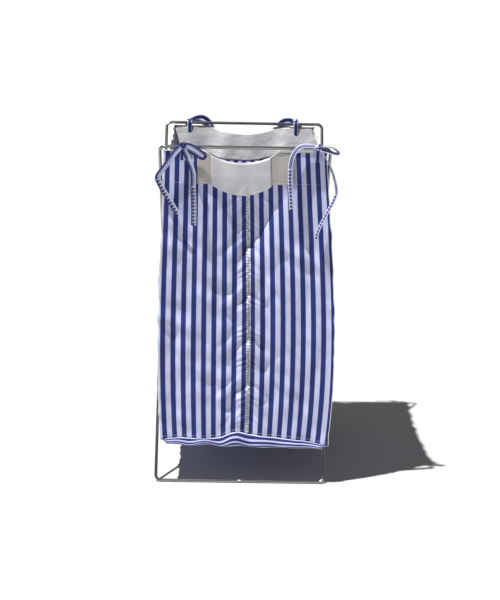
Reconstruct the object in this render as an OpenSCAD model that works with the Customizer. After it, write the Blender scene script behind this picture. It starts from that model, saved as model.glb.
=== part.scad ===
// Cloth sack tied into a folding wire stand.
// Origin: on the floor, midway between the feet. +Z is up, the mouth's front edge faces -Y.

/* [Stand] */
// Height of the stand, floor to the top of the top bars
stand_h = 644; // [480:1:780]
// Distance from the front bars to the back bars, centre to centre
stand_d = 374; // [280:1:460]
// Width of the outer wire loop, centre to centre of its legs
outer_w = 320; // [250:1:400]
// Diameter of the wire
wire_d = 6; // [5:0.5:8]
// Centreline radius of the loops' corners
bend_r = 10; // [8:1:20]
// Free space between the crossing legs of the two loops
leg_gap = 1; // [0.5:0.1:3]

/* [Pivot] */
// Diameter of the rivet's shank
rivet_d = 4; // [3:0.1:4.4]
// Radial play of the outer loop on the rivet
rivet_play = 0.05; // [0.02:0.01:0.1]
// Diameter of the rivet's heads
head_d = 9; // [7:0.5:10]
// Thickness of the rivet's heads
head_t = 1.6; // [1:0.1:2]
// Thickness of the wire where it is pressed flat for the rivet
flat_t = 3; // [2:0.1:4]
// Width of the flattened wire
flat_w = 10; // [9:0.5:12]
// Length of the flattened wire
flat_l = 16; // [14:1:24]
// Axial play under each rivet head
head_play = 0.1; // [0.05:0.05:0.3]

/* [Sack] */
// Thickness of the striped cloth with its coating
cloth_t = 1.2; // [0.8:0.1:2.5]
// Thickness of one layer of facing
facing_t = 0.8; // [0.5:0.1:1.5]
// Height of the sack's bottom seam above the floor
floor_gap = 88; // [70:1:160]
// How far the bottom cloth sags below its seam
bottom_sag = 12; // [4:1:25]
// Gap from the underside of a bar to the sack's top edge
hem_drop = 4; // [2:1:12]
// How far the front stands out at mid height
front_belly = 10; // [2:1:20]
// How far the back stands out at mid height
back_belly = 18; // [2:1:25]
// How far the front and back overhang the gussets at each side
side_fullness = 10; // [0:1:14]
// How far the gussets' top edges sag between the bars
side_sag = 50; // [10:1:90]
// Gap between a gusset and the inner loop's legs
side_clear = 2; // [1:0.5:6]
// Width of the felled centre seams
seam_w = 8; // [6:1:14]
// Thickness of the felled centre seams
seam_t = 2.4; // [2:0.1:4]
// How far the front seam stands to the right of the middle
seam_shift = 8; // [-20:1:20]
// Gap between two layers of cloth
layer_gap = 0.3; // [0.2:0.1:1]

/* [Facings] */
// Depth of the facing inside the mouth
facing_h = 75; // [40:1:110]
// Width of the scoop in the mouth's edge
scoop_w = 144; // [80:1:170]
// Depth of the front scoop
front_scoop = 24; // [8:1:40]
// Depth of the back scoop
back_scoop = 16; // [4:1:40]
// Width of the sewn tab to the left of the front scoop
left_tab_w = 26; // [15:1:30]
// Width of the sewn tab to the right of the front scoop
right_tab_w = 36; // [15:1:38]
// Height of the sewn tabs
tab_h = 56; // [30:1:80]
// Height of the curved band below the front scoop
band_h = 50; // [30:1:70]

/* [Ties] */
// Width of the tie tape
tape_w = 10.5; // [8:0.5:14]
// Thickness of the tie tape
tape_t = 1.2; // [0.8:0.1:2]
// Radial gap between a bar and the tape round it
wrap_gap = 0.3; // [0.2:0.1:1]
// Diameter of the tied knots
knot_d = 14; // [10:1:18]
// Distance from the front left tie to the centre of the leg beside it
front_left_inset = 42; // [25:1:60]
// Distance from the front right tie to the centre of the leg beside it
front_right_inset = 23; // [20:1:60]
// Distance from the back left tie to the centre of the leg beside it
back_left_inset = 47; // [25:1:70]
// Distance from the back right tie to the centre of the leg beside it
back_right_inset = 54; // [25:1:70]

/* [Hidden] */
$fn = 48;
STEEL = "silver";
CLOTH = "royalblue";
FACING = "gainsboro";
TAPE = "lightsteelblue";

wire_r = wire_d / 2;
inner_w = outer_w - 2 * (wire_d + leg_gap);
bar_y = stand_d / 2;
bar_z = stand_h - wire_r;
rise = bar_z - wire_r;
pivot_z = (bar_z + wire_r) / 2;
loop_l = sqrt(stand_d * stand_d + rise * rise);
lean = atan2(rise, stand_d);

spacer_t = wire_d + leg_gap - flat_t;
rivet_in = inner_w / 2 - flat_t / 2;
rivet_out = outer_w / 2 + flat_t / 2 + head_play;

top_z = bar_z - wire_r - hem_drop;
panel_h = top_z - floor_gap;
gusset_x = inner_w / 2 - wire_r - side_clear;
// The side edges run straight for the first and last stretch, and swell between.
swell_above_base = 60;
swell_below_top = 110;
straight_top = 50;
steps = 14;
scoop_r_front = (scoop_w * scoop_w / 4 + front_scoop * front_scoop) / (2 * front_scoop);
scoop_r_back = (scoop_w * scoop_w / 4 + back_scoop * back_scoop) / (2 * back_scoop);
tab_overlap = 6;
tab_x = scoop_w / 2 - tab_overlap;

front_left_x = -(inner_w / 2 - front_left_inset);
front_right_x = inner_w / 2 - front_right_inset;
back_left_x = -(outer_w / 2 - back_left_inset);
back_right_x = outer_w / 2 - back_right_inset;
wrap_in = wire_r + wrap_gap;
wrap_out = wrap_in + tape_t;
tab_drop = 22;
knot_out = 5;
knot_up = 4;
knot_y = bar_y + wrap_out + knot_out;
knot_z = bar_z + knot_up;

// Each route starts at its knot; x is along the bar, y points away from the sack, z is up.
FRONT_LEFT_BOW = [[4, 0, 0], [16, 1, -3], [30, 2, -12], [38, 2, -19], [33, 1, -21], [20, 0, -13], [5, 0, -4]];
FRONT_LEFT_TAIL = [[-4, 0, -2], [-16, 1, -16], [-30, 2, -36], [-42, 2, -52], [-45, 2, -60],
    [-41, 2, -70], [-30, 2, -90], [-14, 2, -116], [-8, 2, -126]];
FRONT_LEFT_END = [[1, 0, -6], [7, 1, -20], [15, 2, -38], [19, 2, -54], [19, 2, -80], [20, 2, -110], [20, 2, -145]];
FRONT_RIGHT_BOW = [[4, 0, 1], [14, 0, 1], [26, 0, -1], [35, 0, -7], [36, 0, -11], [28, 0, -10], [16, 0, -6], [5, 0, -3]];
FRONT_RIGHT_TAIL = [[2, 0, -4], [10, 1, -14], [20, 2, -30], [29, 2, -52], [34, 2, -74], [34, 2, -84],
    [28, 2, -100], [16, 2, -124], [4, 2, -150], [1, 2, -166]];
FRONT_RIGHT_END = [[-4, 0, 1], [-16, 1, 3], [-28, 1, 2], [-39, 2, -5], [-46, 2, -18], [-49, 2, -34],
    [-49, 2, -60], [-47, 2, -90], [-45, 2, -114]];
BACK_LEFT_BOW = [[4, 0, 1], [14, 0, 6], [26, 1, 7], [38, 2, 0], [46, 2, -14], [40, 1, -14], [26, 1, -4], [5, 0, -3]];
BACK_LEFT_TAIL = [[-2, 0, -4], [-8, 1, -16], [-14, 2, -36], [-14, 3, -60], [-10, 3, -84], [-10, 3, -104]];
BACK_RIGHT_BOW = [[-4, 0, 1], [-14, 0, 4], [-26, 0, 2], [-34, 0, -5], [-30, 0, -9], [-18, 0, -6], [-5, 0, -3]];
BACK_RIGHT_TAIL = [[3, 0, -3], [12, 1, -12], [24, 2, -18], [38, 2, -28], [46, 2, -46], [47, 2, -70], [45, 2, -92]];

function belly(z, depth) = depth * sin(180 * (top_z - z) / panel_h);
function face_points(depth, offset, low, high) =
    [for (i = [0:steps]) let (z = low + (high - low) * i / steps) [bar_y + belly(z, depth) + offset, z]];
function backwards(points) = [for (i = [len(points) - 1:-1:0]) points[i]];
function mirrored(points) = [for (p = points) [-p[0], p[1]]];
function sag_points(drop, top) =
    [for (i = [0:steps]) let (s = 2 * i / steps - 1) [s * bar_y, top - drop * (1 - s * s)]];

// A tape's frame at point i: its direction, then the direction of its width.
function way(route, i) =
    let (d = route[min(i + 1, len(route) - 1)] - route[max(i - 1, 0)]) d / norm(d);
function across(route, i, edgewise) =
    let (t = way(route, i), w = edgewise ? [0, 1, 0] : cross(t, [0, 1, 0])) w / norm(w);
function ring(route, i, edgewise) =
    let (w = across(route, i, edgewise) * tape_w / 2, n = cross(way(route, i), w) * tape_t / tape_w)
    [route[i] + w + n, route[i] - w + n, route[i] - w - n, route[i] + w - n];

// A thin upright cloth that follows the front's curve, out to a face offset and in by a thickness.
module upright(depth, offset, thick, low, high, x0, x1) {
    outline = concat(face_points(depth, offset, low, high),
        backwards(face_points(depth, offset - thick, low, high)));
    translate([x0, 0, 0])
        rotate([90, 0, 90])
            linear_extrude(x1 - x0) polygon(mirrored(outline));
}

// Cuts a shallow round scoop in a mouth edge centred on x = 0.
module scoop_cut(radius, depth) {
    translate([0, 0, top_z - depth + radius])
        rotate([90, 0, 0])
            cylinder(r = radius, h = 2 * stand_d, center = true, $fn = 96);
}

// A half panel, from its seam edge at x0 out to the side, fuller at its outer edge below the hem.
module half_panel(depth, radius, scoop, x0) {
    edge = gusset_x + side_fullness;
    difference() {
        intersection() {
            upright(depth, cloth_t, cloth_t, floor_gap, top_z, x0, edge);
            rotate([90, 0, 0])
                linear_extrude(2 * stand_d, center = true)
                    polygon([[-stand_d, floor_gap], [gusset_x, floor_gap], [edge, floor_gap + swell_above_base],
                        [edge, top_z - swell_below_top], [gusset_x, top_z - straight_top],
                        [gusset_x, top_z], [-stand_d, top_z]]);
        }
        scoop_cut(radius, scoop);
    }
}

module seam_strip(depth, radius, scoop, x) {
    difference() {
        upright(depth, seam_t, seam_t, floor_gap, top_z, x - seam_w / 2, x + seam_w / 2);
        scoop_cut(radius, scoop);
    }
}

module facing_strip(depth, radius, scoop) {
    inner_x = gusset_x - cloth_t - facing_t - 2 * layer_gap;
    difference() {
        upright(depth, -layer_gap, facing_t, top_z - facing_h, top_z, -inner_x, inner_x);
        scoop_cut(radius, scoop);
    }
}

module gusset() {
    outline = concat(
        backwards(sag_points(side_sag, top_z)),
        mirrored(backwards(face_points(front_belly, 0, floor_gap + 1, top_z - 1))),
        sag_points(bottom_sag, floor_gap),
        face_points(back_belly, 0, floor_gap + 1, top_z - 1));
    translate([gusset_x - cloth_t, 0, 0])
        rotate([90, 0, 90]) linear_extrude(cloth_t) polygon(outline);
}

module side_facing() {
    clear = bar_y - facing_t - 2 * layer_gap;
    top = sag_points(side_sag, top_z);
    low = sag_points(side_sag, top_z - facing_h);
    translate([gusset_x - cloth_t - facing_t - layer_gap, 0, 0])
        rotate([90, 0, 90])
            linear_extrude(facing_t)
                intersection() {
                    polygon(concat(top, backwards(low)));
                    translate([-clear, 0]) square([2 * clear, stand_h]);
                }
}

// The straight bar across one end of a wire loop.
module end_bar(width) {
    rotate([0, 90, 0]) cylinder(r = wire_r, h = width - 2 * bend_r, center = true);
}

// A wire loop without its foot bar, lying flat: width along X, length along Y, top bar towards +Y.
// Its legs are pressed flat where they cross.
module wire_loop(width, bore_r) {
    half_w = width / 2;
    half_l = loop_l / 2;
    leg = half_l - bend_r - flat_l / 2 + 1;
    difference() {
        union() {
            for (sx = [-1, 1])
                for (sy = [-1, 1]) {
                    translate([sx * half_w, sy * (half_l - bend_r - leg / 2), 0])
                        rotate([90, 0, 0])
                            cylinder(r = wire_r, h = leg, center = true);
                    translate([sx * (half_w - bend_r), sy * (half_l - bend_r), 0])
                        rotate([0, 0, sx > 0 ? (sy > 0 ? 0 : 270) : (sy > 0 ? 90 : 180)])
                            rotate_extrude(angle = 90) translate([bend_r, 0]) circle(r = wire_r);
                }
            translate([0, half_l, 0]) end_bar(width);
            for (sx = [-1, 1])
                translate([sx * half_w, 0, 0]) {
                    cube([flat_t, flat_l, flat_w - 2], center = true);
                    rotate([0, 90, 0]) cylinder(d = flat_w, h = flat_t, center = true);
                }
        }
        rotate([0, 90, 0]) cylinder(r = bore_r, h = width + 20, center = true);
    }
}

module inner_loop() {
    color(STEEL)
        translate([0, 0, pivot_z]) rotate([180 - lean, 0, 0]) wire_loop(inner_w, rivet_d / 2);
}

module inner_foot() {
    color(STEEL) translate([0, bar_y, wire_r]) end_bar(inner_w);
}

module outer_loop() {
    color(STEEL)
        translate([0, 0, pivot_z]) rotate([lean, 0, 0]) wire_loop(outer_w, rivet_d / 2 + rivet_play);
}

module outer_foot() {
    color(STEEL) translate([0, -bar_y, wire_r]) end_bar(outer_w);
}

module rivet() {
    translate([0, 0, pivot_z])
        rotate([0, 90, 0]) {
            translate([0, 0, rivet_in - head_t]) cylinder(d = head_d, h = head_t);
            translate([0, 0, rivet_in - 0.1]) cylinder(d = rivet_d, h = rivet_out - rivet_in + 0.2);
            translate([0, 0, rivet_out]) cylinder(d = head_d, h = head_t * 0.6);
            translate([0, 0, rivet_out + head_t * 0.6]) cylinder(d1 = head_d, d2 = head_d * 0.6, h = head_t * 0.4);
        }
}

module left_rivet() {
    color(STEEL) mirror([1, 0, 0]) rivet();
}

module right_rivet() {
    color(STEEL) rivet();
}

module spacer() {
    translate([rivet_in + flat_t, 0, pivot_z])
        rotate([0, 90, 0])
            difference() {
                cylinder(d = head_d, h = spacer_t - head_play);
                translate([0, 0, -1]) cylinder(d = rivet_d, h = spacer_t + 2);
            }
}

module left_spacer() {
    color(STEEL) mirror([1, 0, 0]) spacer();
}

module right_spacer() {
    color(STEEL) spacer();
}

module front_left_panel() {
    color(CLOTH) mirror([1, 0, 0]) half_panel(front_belly, scoop_r_front, front_scoop, seam_w / 2 - seam_shift);
}

module front_right_panel() {
    color(CLOTH) half_panel(front_belly, scoop_r_front, front_scoop, seam_w / 2 + seam_shift);
}

module front_seam() {
    color(CLOTH) seam_strip(front_belly, scoop_r_front, front_scoop, seam_shift);
}

module back_left_panel() {
    color(CLOTH) rotate([0, 0, 180]) half_panel(back_belly, scoop_r_back, back_scoop, seam_w / 2);
}

module back_right_panel() {
    color(CLOTH) mirror([0, 1, 0]) half_panel(back_belly, scoop_r_back, back_scoop, seam_w / 2);
}

module back_seam() {
    color(CLOTH) rotate([0, 0, 180]) seam_strip(back_belly, scoop_r_back, back_scoop, 0);
}

module left_gusset() {
    color(CLOTH) mirror([1, 0, 0]) gusset();
}

module right_gusset() {
    color(CLOTH) gusset();
}

module bottom_panel() {
    outline = concat(sag_points(bottom_sag, floor_gap), backwards(sag_points(bottom_sag, floor_gap - cloth_t)));
    color(CLOTH)
        translate([-gusset_x, 0, 0])
            rotate([90, 0, 90]) linear_extrude(2 * gusset_x) polygon(outline);
}

module front_facing() {
    color(FACING) facing_strip(front_belly, scoop_r_front, front_scoop);
}

module back_facing() {
    color(FACING) rotate([0, 0, 180]) facing_strip(back_belly, scoop_r_back, back_scoop);
}

module left_facing() {
    color(FACING) mirror([1, 0, 0]) side_facing();
}

module right_facing() {
    color(FACING) side_facing();
}

// The curved band outside the front, below the scoop: its lower edge runs parallel to the scoop.
module front_band() {
    out = seam_t + layer_gap + facing_t;
    color(FACING)
        difference() {
            intersection() {
                upright(front_belly, out, facing_t, top_z - front_scoop - band_h, top_z, -tab_x, tab_x);
                translate([0, 0, top_z - front_scoop - band_h + scoop_r_front])
                    rotate([90, 0, 0])
                        cylinder(r = scoop_r_front, h = 2 * stand_d, center = true, $fn = 96);
            }
            scoop_cut(scoop_r_front, front_scoop);
        }
}

module tab(width) {
    high = top_z - hem_drop;
    upright(front_belly, cloth_t + layer_gap + facing_t, facing_t, high - tab_h, high, tab_x, tab_x + width);
}

module front_left_tab() {
    color(FACING) mirror([1, 0, 0]) tab(left_tab_w);
}

module front_right_tab() {
    color(FACING) tab(right_tab_w);
}

// Tape round a bar with its sewn end hanging down outside the sack.
module wrap() {
    difference() {
        union() {
            rotate([0, 90, 0]) cylinder(r = wrap_out, h = tape_w, center = true);
            translate([-tape_w / 2, -wrap_out, -wire_r - tab_drop]) cube([tape_w, tape_t, tab_drop + wire_r]);
        }
        rotate([0, 90, 0]) cylinder(r = wrap_in, h = tape_w + 2, center = true);
    }
}

module tape(route, edgewise = false) {
    rings = [for (i = [0:len(route) - 1]) ring(route, i, edgewise)];
    points = [for (r = rings) for (p = r) p];
    sides = [for (i = [0:len(route) - 2]) for (k = [0:3])
        [4 * i + k, 4 * i + (k + 1) % 4, 4 * i + 4 + (k + 1) % 4, 4 * i + 4 + k]];
    last = 4 * (len(route) - 1);
    polyhedron(points, concat(sides, [[3, 2, 1, 0], [last, last + 1, last + 2, last + 3]]), convexity = 6);
}

// Places a tie's piece at a knot, with y turned to point out of the front or the back.
module at_knot(x, front) {
    translate([x, front ? -knot_y : knot_y, knot_z]) children();
}

function outward(route, front) = [for (p = route) [p[0], front ? -p[1] : p[1], p[2]]];

module front_left_wrap() {
    color(TAPE) translate([front_left_x, -bar_y, bar_z]) wrap();
}

module front_left_knot() {
    color(TAPE) at_knot(front_left_x, true) sphere(d = knot_d);
}

module front_left_bow() {
    color(TAPE) at_knot(front_left_x, true) tape(outward(FRONT_LEFT_BOW, true), true);
}

module front_left_tail() {
    color(TAPE) at_knot(front_left_x, true) tape(outward(FRONT_LEFT_TAIL, true));
}

module front_left_end() {
    color(TAPE) at_knot(front_left_x, true) tape(outward(FRONT_LEFT_END, true));
}

module front_right_wrap() {
    color(TAPE) translate([front_right_x, -bar_y, bar_z]) wrap();
}

module front_right_knot() {
    color(TAPE) at_knot(front_right_x, true) sphere(d = knot_d);
}

module front_right_bow() {
    color(TAPE) at_knot(front_right_x, true) tape(outward(FRONT_RIGHT_BOW, true), true);
}

module front_right_tail() {
    color(TAPE) at_knot(front_right_x, true) tape(outward(FRONT_RIGHT_TAIL, true));
}

module front_right_end() {
    color(TAPE) at_knot(front_right_x, true) tape(outward(FRONT_RIGHT_END, true));
}

module back_left_wrap() {
    color(TAPE) translate([back_left_x, bar_y, bar_z]) mirror([0, 1, 0]) wrap();
}

module back_left_knot() {
    color(TAPE) at_knot(back_left_x, false) sphere(d = knot_d);
}

module back_left_bow() {
    color(TAPE) at_knot(back_left_x, false) tape(outward(BACK_LEFT_BOW, false), true);
}

module back_left_tail() {
    color(TAPE) at_knot(back_left_x, false) tape(outward(BACK_LEFT_TAIL, false));
}

module back_right_wrap() {
    color(TAPE) translate([back_right_x, bar_y, bar_z]) mirror([0, 1, 0]) wrap();
}

module back_right_knot() {
    color(TAPE) at_knot(back_right_x, false) sphere(d = knot_d);
}

module back_right_bow() {
    color(TAPE) at_knot(back_right_x, false) tape(outward(BACK_RIGHT_BOW, false), true);
}

module back_right_tail() {
    color(TAPE) at_knot(back_right_x, false) tape(outward(BACK_RIGHT_TAIL, false));
}

inner_loop();
inner_foot();
outer_loop();
outer_foot();
left_rivet();
right_rivet();
left_spacer();
right_spacer();
front_left_panel();
front_right_panel();
front_seam();
back_left_panel();
back_right_panel();
back_seam();
left_gusset();
right_gusset();
bottom_panel();
front_facing();
back_facing();
left_facing();
right_facing();
front_band();
front_left_tab();
front_right_tab();
front_left_wrap();
front_left_knot();
front_left_bow();
front_left_tail();
front_left_end();
front_right_wrap();
front_right_knot();
front_right_bow();
front_right_tail();
front_right_end();
back_left_wrap();
back_left_knot();
back_left_bow();
back_left_tail();
back_right_wrap();
back_right_knot();
back_right_bow();
back_right_tail();
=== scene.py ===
"""Looks of a striped cloth sack that hangs by four tape ties in a folding wire stand."""
import logging
import math
from dataclasses import dataclass, field
from enum import Enum
from typing import Callable

import bpy
import numpy as np
from mathutils import Matrix, Vector
from mathutils.bvhtree import BVHTree


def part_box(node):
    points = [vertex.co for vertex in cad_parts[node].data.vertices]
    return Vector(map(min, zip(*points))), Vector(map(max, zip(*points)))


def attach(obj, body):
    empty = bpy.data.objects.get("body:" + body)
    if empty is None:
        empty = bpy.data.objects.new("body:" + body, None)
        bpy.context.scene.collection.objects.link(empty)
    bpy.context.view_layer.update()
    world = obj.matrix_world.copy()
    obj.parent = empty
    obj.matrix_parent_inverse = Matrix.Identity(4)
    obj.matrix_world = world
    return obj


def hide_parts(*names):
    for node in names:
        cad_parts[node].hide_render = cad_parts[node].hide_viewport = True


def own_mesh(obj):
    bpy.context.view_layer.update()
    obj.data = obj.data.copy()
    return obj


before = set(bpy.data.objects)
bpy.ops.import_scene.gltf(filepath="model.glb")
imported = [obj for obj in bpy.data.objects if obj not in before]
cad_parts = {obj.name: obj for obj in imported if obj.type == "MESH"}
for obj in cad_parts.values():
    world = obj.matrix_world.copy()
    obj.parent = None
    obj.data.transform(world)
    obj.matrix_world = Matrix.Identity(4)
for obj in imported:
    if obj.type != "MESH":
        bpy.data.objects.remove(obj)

logging.basicConfig(level=logging.INFO, format="%(message)s")
LOG = logging.getLogger("sack")

MM = 0.001
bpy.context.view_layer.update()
Colour = tuple[float, float, float]
Points = np.ndarray
Material = bpy.types.Material
Object = bpy.types.Object
Node = bpy.types.Node


class Body(str, Enum):
    """The two rigid bodies of the stand."""

    INNER = "inner_frame"
    OUTER = "outer_frame"


class Slot(str, Enum):
    """The material slots of the record."""

    WIRE = "wire"
    RIVET = "rivet"
    CLOTH = "striped_cloth"
    FACING = "facing"
    TAPE = "tie_tape"


# ------------------------------------------------------------------ finishes


class Nodes:
    """A small helper that adds shader nodes and joins them."""

    def __init__(self, name: str) -> None:
        """Starts a new material with a Principled shader.

        Args:
            name: The material's name.
        """
        self.material = bpy.data.materials.new(name)
        self.material.use_nodes = True
        self.tree = self.material.node_tree
        self.shader = self.tree.nodes["Principled BSDF"]

    def add(self, kind: str, **settings: object) -> Node:
        """Adds a node of a kind, with its properties set.

        Args:
            kind: The node's type, without the ShaderNode prefix.
            **settings: Properties of the node.

        Returns:
            The new node.
        """
        node = self.tree.nodes.new("ShaderNode" + kind)
        for key, value in settings.items():
            setattr(node, key, value)
        return node

    def link(self, source: object, target: object) -> None:
        """Joins an output socket to an input socket."""
        self.tree.links.new(source, target)

    def math(self, operation: str, a: object, b: object = None) -> object:
        """Adds a Math node.

        Args:
            operation: The node's operation.
            a: A socket or a number.
            b: A socket or a number, if the operation takes one.

        Returns:
            The output socket.
        """
        node = self.add("Math", operation=operation)
        for socket, value in zip(node.inputs, (a, b)):
            if value is None:
                continue
            if isinstance(value, (int, float)):
                socket.default_value = value
            else:
                self.link(value, socket)
        return node.outputs[0]

    def mix(self, factor: object, a: object, b: object) -> object:
        """Mixes two colours.

        Args:
            factor: A socket or a number.
            a: A colour, or a socket that gives one.
            b: A colour, or a socket that gives one.

        Returns:
            The colour socket.
        """
        node = self.add("Mix", data_type="RGBA")
        for index, value in ((0, factor), (6, a), (7, b)):
            if isinstance(value, (int, float)):
                node.inputs[index].default_value = value
            elif isinstance(value, tuple):
                node.inputs[index].default_value = (*value, 1.0)
            else:
                self.link(value, node.inputs[index])
        return node.outputs[2]

    def noise(self, vector: object, scale: float, detail: float = 2.0, rough: float = 0.5) -> object:
        """Adds a noise texture and returns its value socket."""
        node = self.add("TexNoise")
        node.inputs["Scale"].default_value = scale
        node.inputs["Detail"].default_value = detail
        node.inputs["Roughness"].default_value = rough
        self.link(vector, node.inputs["Vector"])
        return node.outputs["Fac"]

    def stretch(self, vector: object, scale: tuple[float, float, float]) -> object:
        """Scales a coordinate, which stretches the pattern that reads it."""
        node = self.add("Mapping")
        node.inputs["Scale"].default_value = scale
        self.link(vector, node.inputs["Vector"])
        return node.outputs["Vector"]

    def between(self, value: object, low: float, high: float) -> object:
        """Maps a value of 0 to 1 onto low to high."""
        node = self.add("MapRange")
        node.inputs["To Min"].default_value = low
        node.inputs["To Max"].default_value = high
        self.link(value, node.inputs["Value"])
        return node.outputs["Result"]

    def bump(self, height: object, distance: float, strength: float = 1.0, below: object = None) -> object:
        """Adds a Bump node.

        Args:
            height: The height socket.
            distance: The height in metres that a value of 1 stands for.
            strength: How strongly it shows.
            below: The normal socket of a coarser bump, if there is one.

        Returns:
            The normal socket.
        """
        node = self.add("Bump")
        node.inputs["Strength"].default_value = strength
        node.inputs["Distance"].default_value = distance
        self.link(height, node.inputs["Height"])
        if below is not None:
            self.link(below, node.inputs["Normal"])
        return node.outputs["Normal"]

    def finish(self, **sockets: object) -> Material:
        """Sets the shader's sockets.

        Args:
            **sockets: Socket names with underscores for spaces, and a number, colour or socket each.

        Returns:
            The material.
        """
        for name, value in sockets.items():
            socket = self.shader.inputs[name.replace("_", " ")]
            if isinstance(value, (int, float)):
                socket.default_value = value
            elif isinstance(value, tuple):
                socket.default_value = (*value, 1.0)
            else:
                self.link(value, socket)
        return self.material


@dataclass(frozen=True)
class WireSteel:
    """Bright drawn steel wire with fine lines along it and faint handling marks."""

    name: str = "drawn steel wire"
    light: Colour = (0.34, 0.34, 0.345)
    dark: Colour = (0.12, 0.12, 0.125)
    roughness: tuple[float, float] = (0.16, 0.32)

    def material(self) -> Material:
        """Builds the material."""
        n = Nodes(self.name)
        place = n.add("TexCoord").outputs["Object"]
        fine = n.noise(n.stretch(place, (40, 900, 260)), 1.0, 3)
        cloud = n.noise(place, 38.0, 4, 0.6)
        speck = n.noise(place, 420.0, 2)
        stain = n.math("MULTIPLY", n.math("SUBTRACT", cloud, 0.42), 1.4)
        colour = n.mix(n.math("MULTIPLY", stain, 0.7), self.light, self.dark)
        rough = n.between(n.math("ADD", n.math("MULTIPLY", fine, 0.5), n.math("MULTIPLY", cloud, 0.5)),
                          *self.roughness)
        bump = n.bump(n.math("ADD", fine, n.math("MULTIPLY", speck, 0.5)), 0.00004)
        return n.finish(Base_Color=colour, Metallic=1.0, Roughness=rough, Normal=bump)


@dataclass(frozen=True)
class WeldSteel:
    """The dull, slightly blued bead of a butt weld."""

    name: str = "weld bead"
    light: Colour = (0.52, 0.50, 0.47)
    dark: Colour = (0.16, 0.16, 0.19)

    def material(self) -> Material:
        """Builds the material."""
        n = Nodes(self.name)
        place = n.add("TexCoord").outputs["Object"]
        tint = n.noise(place, 300.0, 3, 0.6)
        grain = n.noise(place, 1500.0, 2)
        return n.finish(Base_Color=n.mix(tint, self.light, self.dark), Metallic=1.0,
                        Roughness=n.between(tint, 0.35, 0.6), Normal=n.bump(grain, 0.00008))


@dataclass(frozen=True)
class StripedCotton:
    """Woven cotton shirting: blue stripes on white, with a fine plain weave and soft creases.

    The piece's UV map is in metres, with u across the stripes and v along them.
    """

    name: str = "striped cotton"
    pitch: float = 18.4 * MM
    blue_share: float = 0.5
    start: float = 0.0
    blue: Colour = (0.008, 0.016, 0.112)
    pale_blue: Colour = (0.021, 0.037, 0.205)
    white: Colour = (0.47, 0.495, 0.76)
    bright: Colour = (0.60, 0.63, 0.86)
    thread: float = 0.55 * MM
    crease: float = 0.0006

    def material(self) -> Material:
        """Builds the material."""
        n = Nodes(self.name)
        place = n.add("TexCoord").outputs["Object"]
        uv = n.add("UVMap", uv_map="weave").outputs["UV"]
        parts = n.add("SeparateXYZ")
        n.link(uv, parts.inputs[0])
        u, v = parts.outputs[0], parts.outputs[1]
        drift = n.math("MULTIPLY", n.math("SUBTRACT", n.noise(uv, 60.0, 2), 0.5), 0.0006)
        shifted = n.math("ADD", n.math("ADD", u, drift), self.start + 10 * self.pitch)
        turn = n.math("DIVIDE", shifted, self.pitch)
        wave = n.math("PINGPONG", turn, 0.5)
        edge = n.add("MapRange", interpolation_type="SMOOTHSTEP")
        half, blur = self.blue_share / 2, 0.012
        spans = {"From Min": half - blur, "From Max": half + blur, "To Min": 1.0, "To Max": 0.0}
        for key, value in spans.items():
            edge.inputs[key].default_value = value
        n.link(wave, edge.inputs["Value"])
        warp = n.math("SINE", n.math("MULTIPLY", u, 2 * math.pi / self.thread))
        weft = n.math("SINE", n.math("MULTIPLY", v, 2 * math.pi / self.thread))
        cross = n.math("MULTIPLY", warp, weft)
        fleck = n.noise(n.stretch(uv, (3000, 400, 1)), 1.0, 2)
        cloud = n.noise(place, 9.0, 3)
        tone = n.math("ADD", n.math("MULTIPLY", fleck, 0.55), n.math("MULTIPLY", cloud, 0.45))
        blue = n.mix(tone, self.blue, self.pale_blue)
        white = n.mix(tone, self.white, self.bright)
        colour = n.mix(edge.outputs["Result"], white, blue)
        soft = n.noise(n.stretch(uv, (1, 0.45, 1)), 75.0, 3, 0.55)
        folds = n.bump(soft, self.crease, 0.7)
        weave = n.bump(cross, 0.00006, 0.6, folds)
        return n.finish(Base_Color=colour, Roughness=n.between(fleck, 0.62, 0.82), Normal=weave,
                        Sheen_Weight=0.15, Sheen_Roughness=0.4, Specular_IOR_Level=0.3)


@dataclass(frozen=True)
class CoatedFacing:
    """Silver-grey coated cloth with faint streaks along its length and soft creases."""

    name: str = "silver facing"
    light: Colour = (0.82, 0.82, 0.84)
    dark: Colour = (0.36, 0.36, 0.385)
    streak: tuple[float, float, float] = (4, 420, 1)
    streak_share: float = 0.5
    grain: float = 900.0
    grain_height: float = 0.00008
    crease: float = 0.0026
    metal: float = 0.18
    roughness: tuple[float, float] = (0.36, 0.6)

    def material(self) -> Material:
        """Builds the material."""
        n = Nodes(self.name)
        place = n.add("TexCoord").outputs["Object"]
        uv = n.add("UVMap", uv_map="weave").outputs["UV"]
        lines = n.noise(n.stretch(uv, self.streak), 1.0, 4, 0.6)
        grain = n.noise(uv, self.grain, 3, 0.7)
        cloud = n.noise(place, 22.0, 3)
        tone = n.math("ADD", n.math("MULTIPLY", lines, self.streak_share),
                      n.math("ADD", n.math("MULTIPLY", grain, 0.35 * (1 - self.streak_share)),
                             n.math("MULTIPLY", cloud, 0.5)))
        tone = n.math("MULTIPLY", n.math("SUBTRACT", tone, 0.3), 1.5)
        creases = n.bump(n.noise(place, 48.0, 3, 0.5), self.crease, 0.8)
        rib = n.math("ADD", grain, n.math("MULTIPLY", lines, 0.6))
        surface = n.bump(rib, self.grain_height, 0.8, creases)
        return n.finish(Base_Color=n.mix(tone, self.light, self.dark), Metallic=self.metal,
                        Roughness=n.between(lines, *self.roughness), Normal=surface,
                        Sheen_Weight=0.1, Specular_IOR_Level=0.4)


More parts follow.
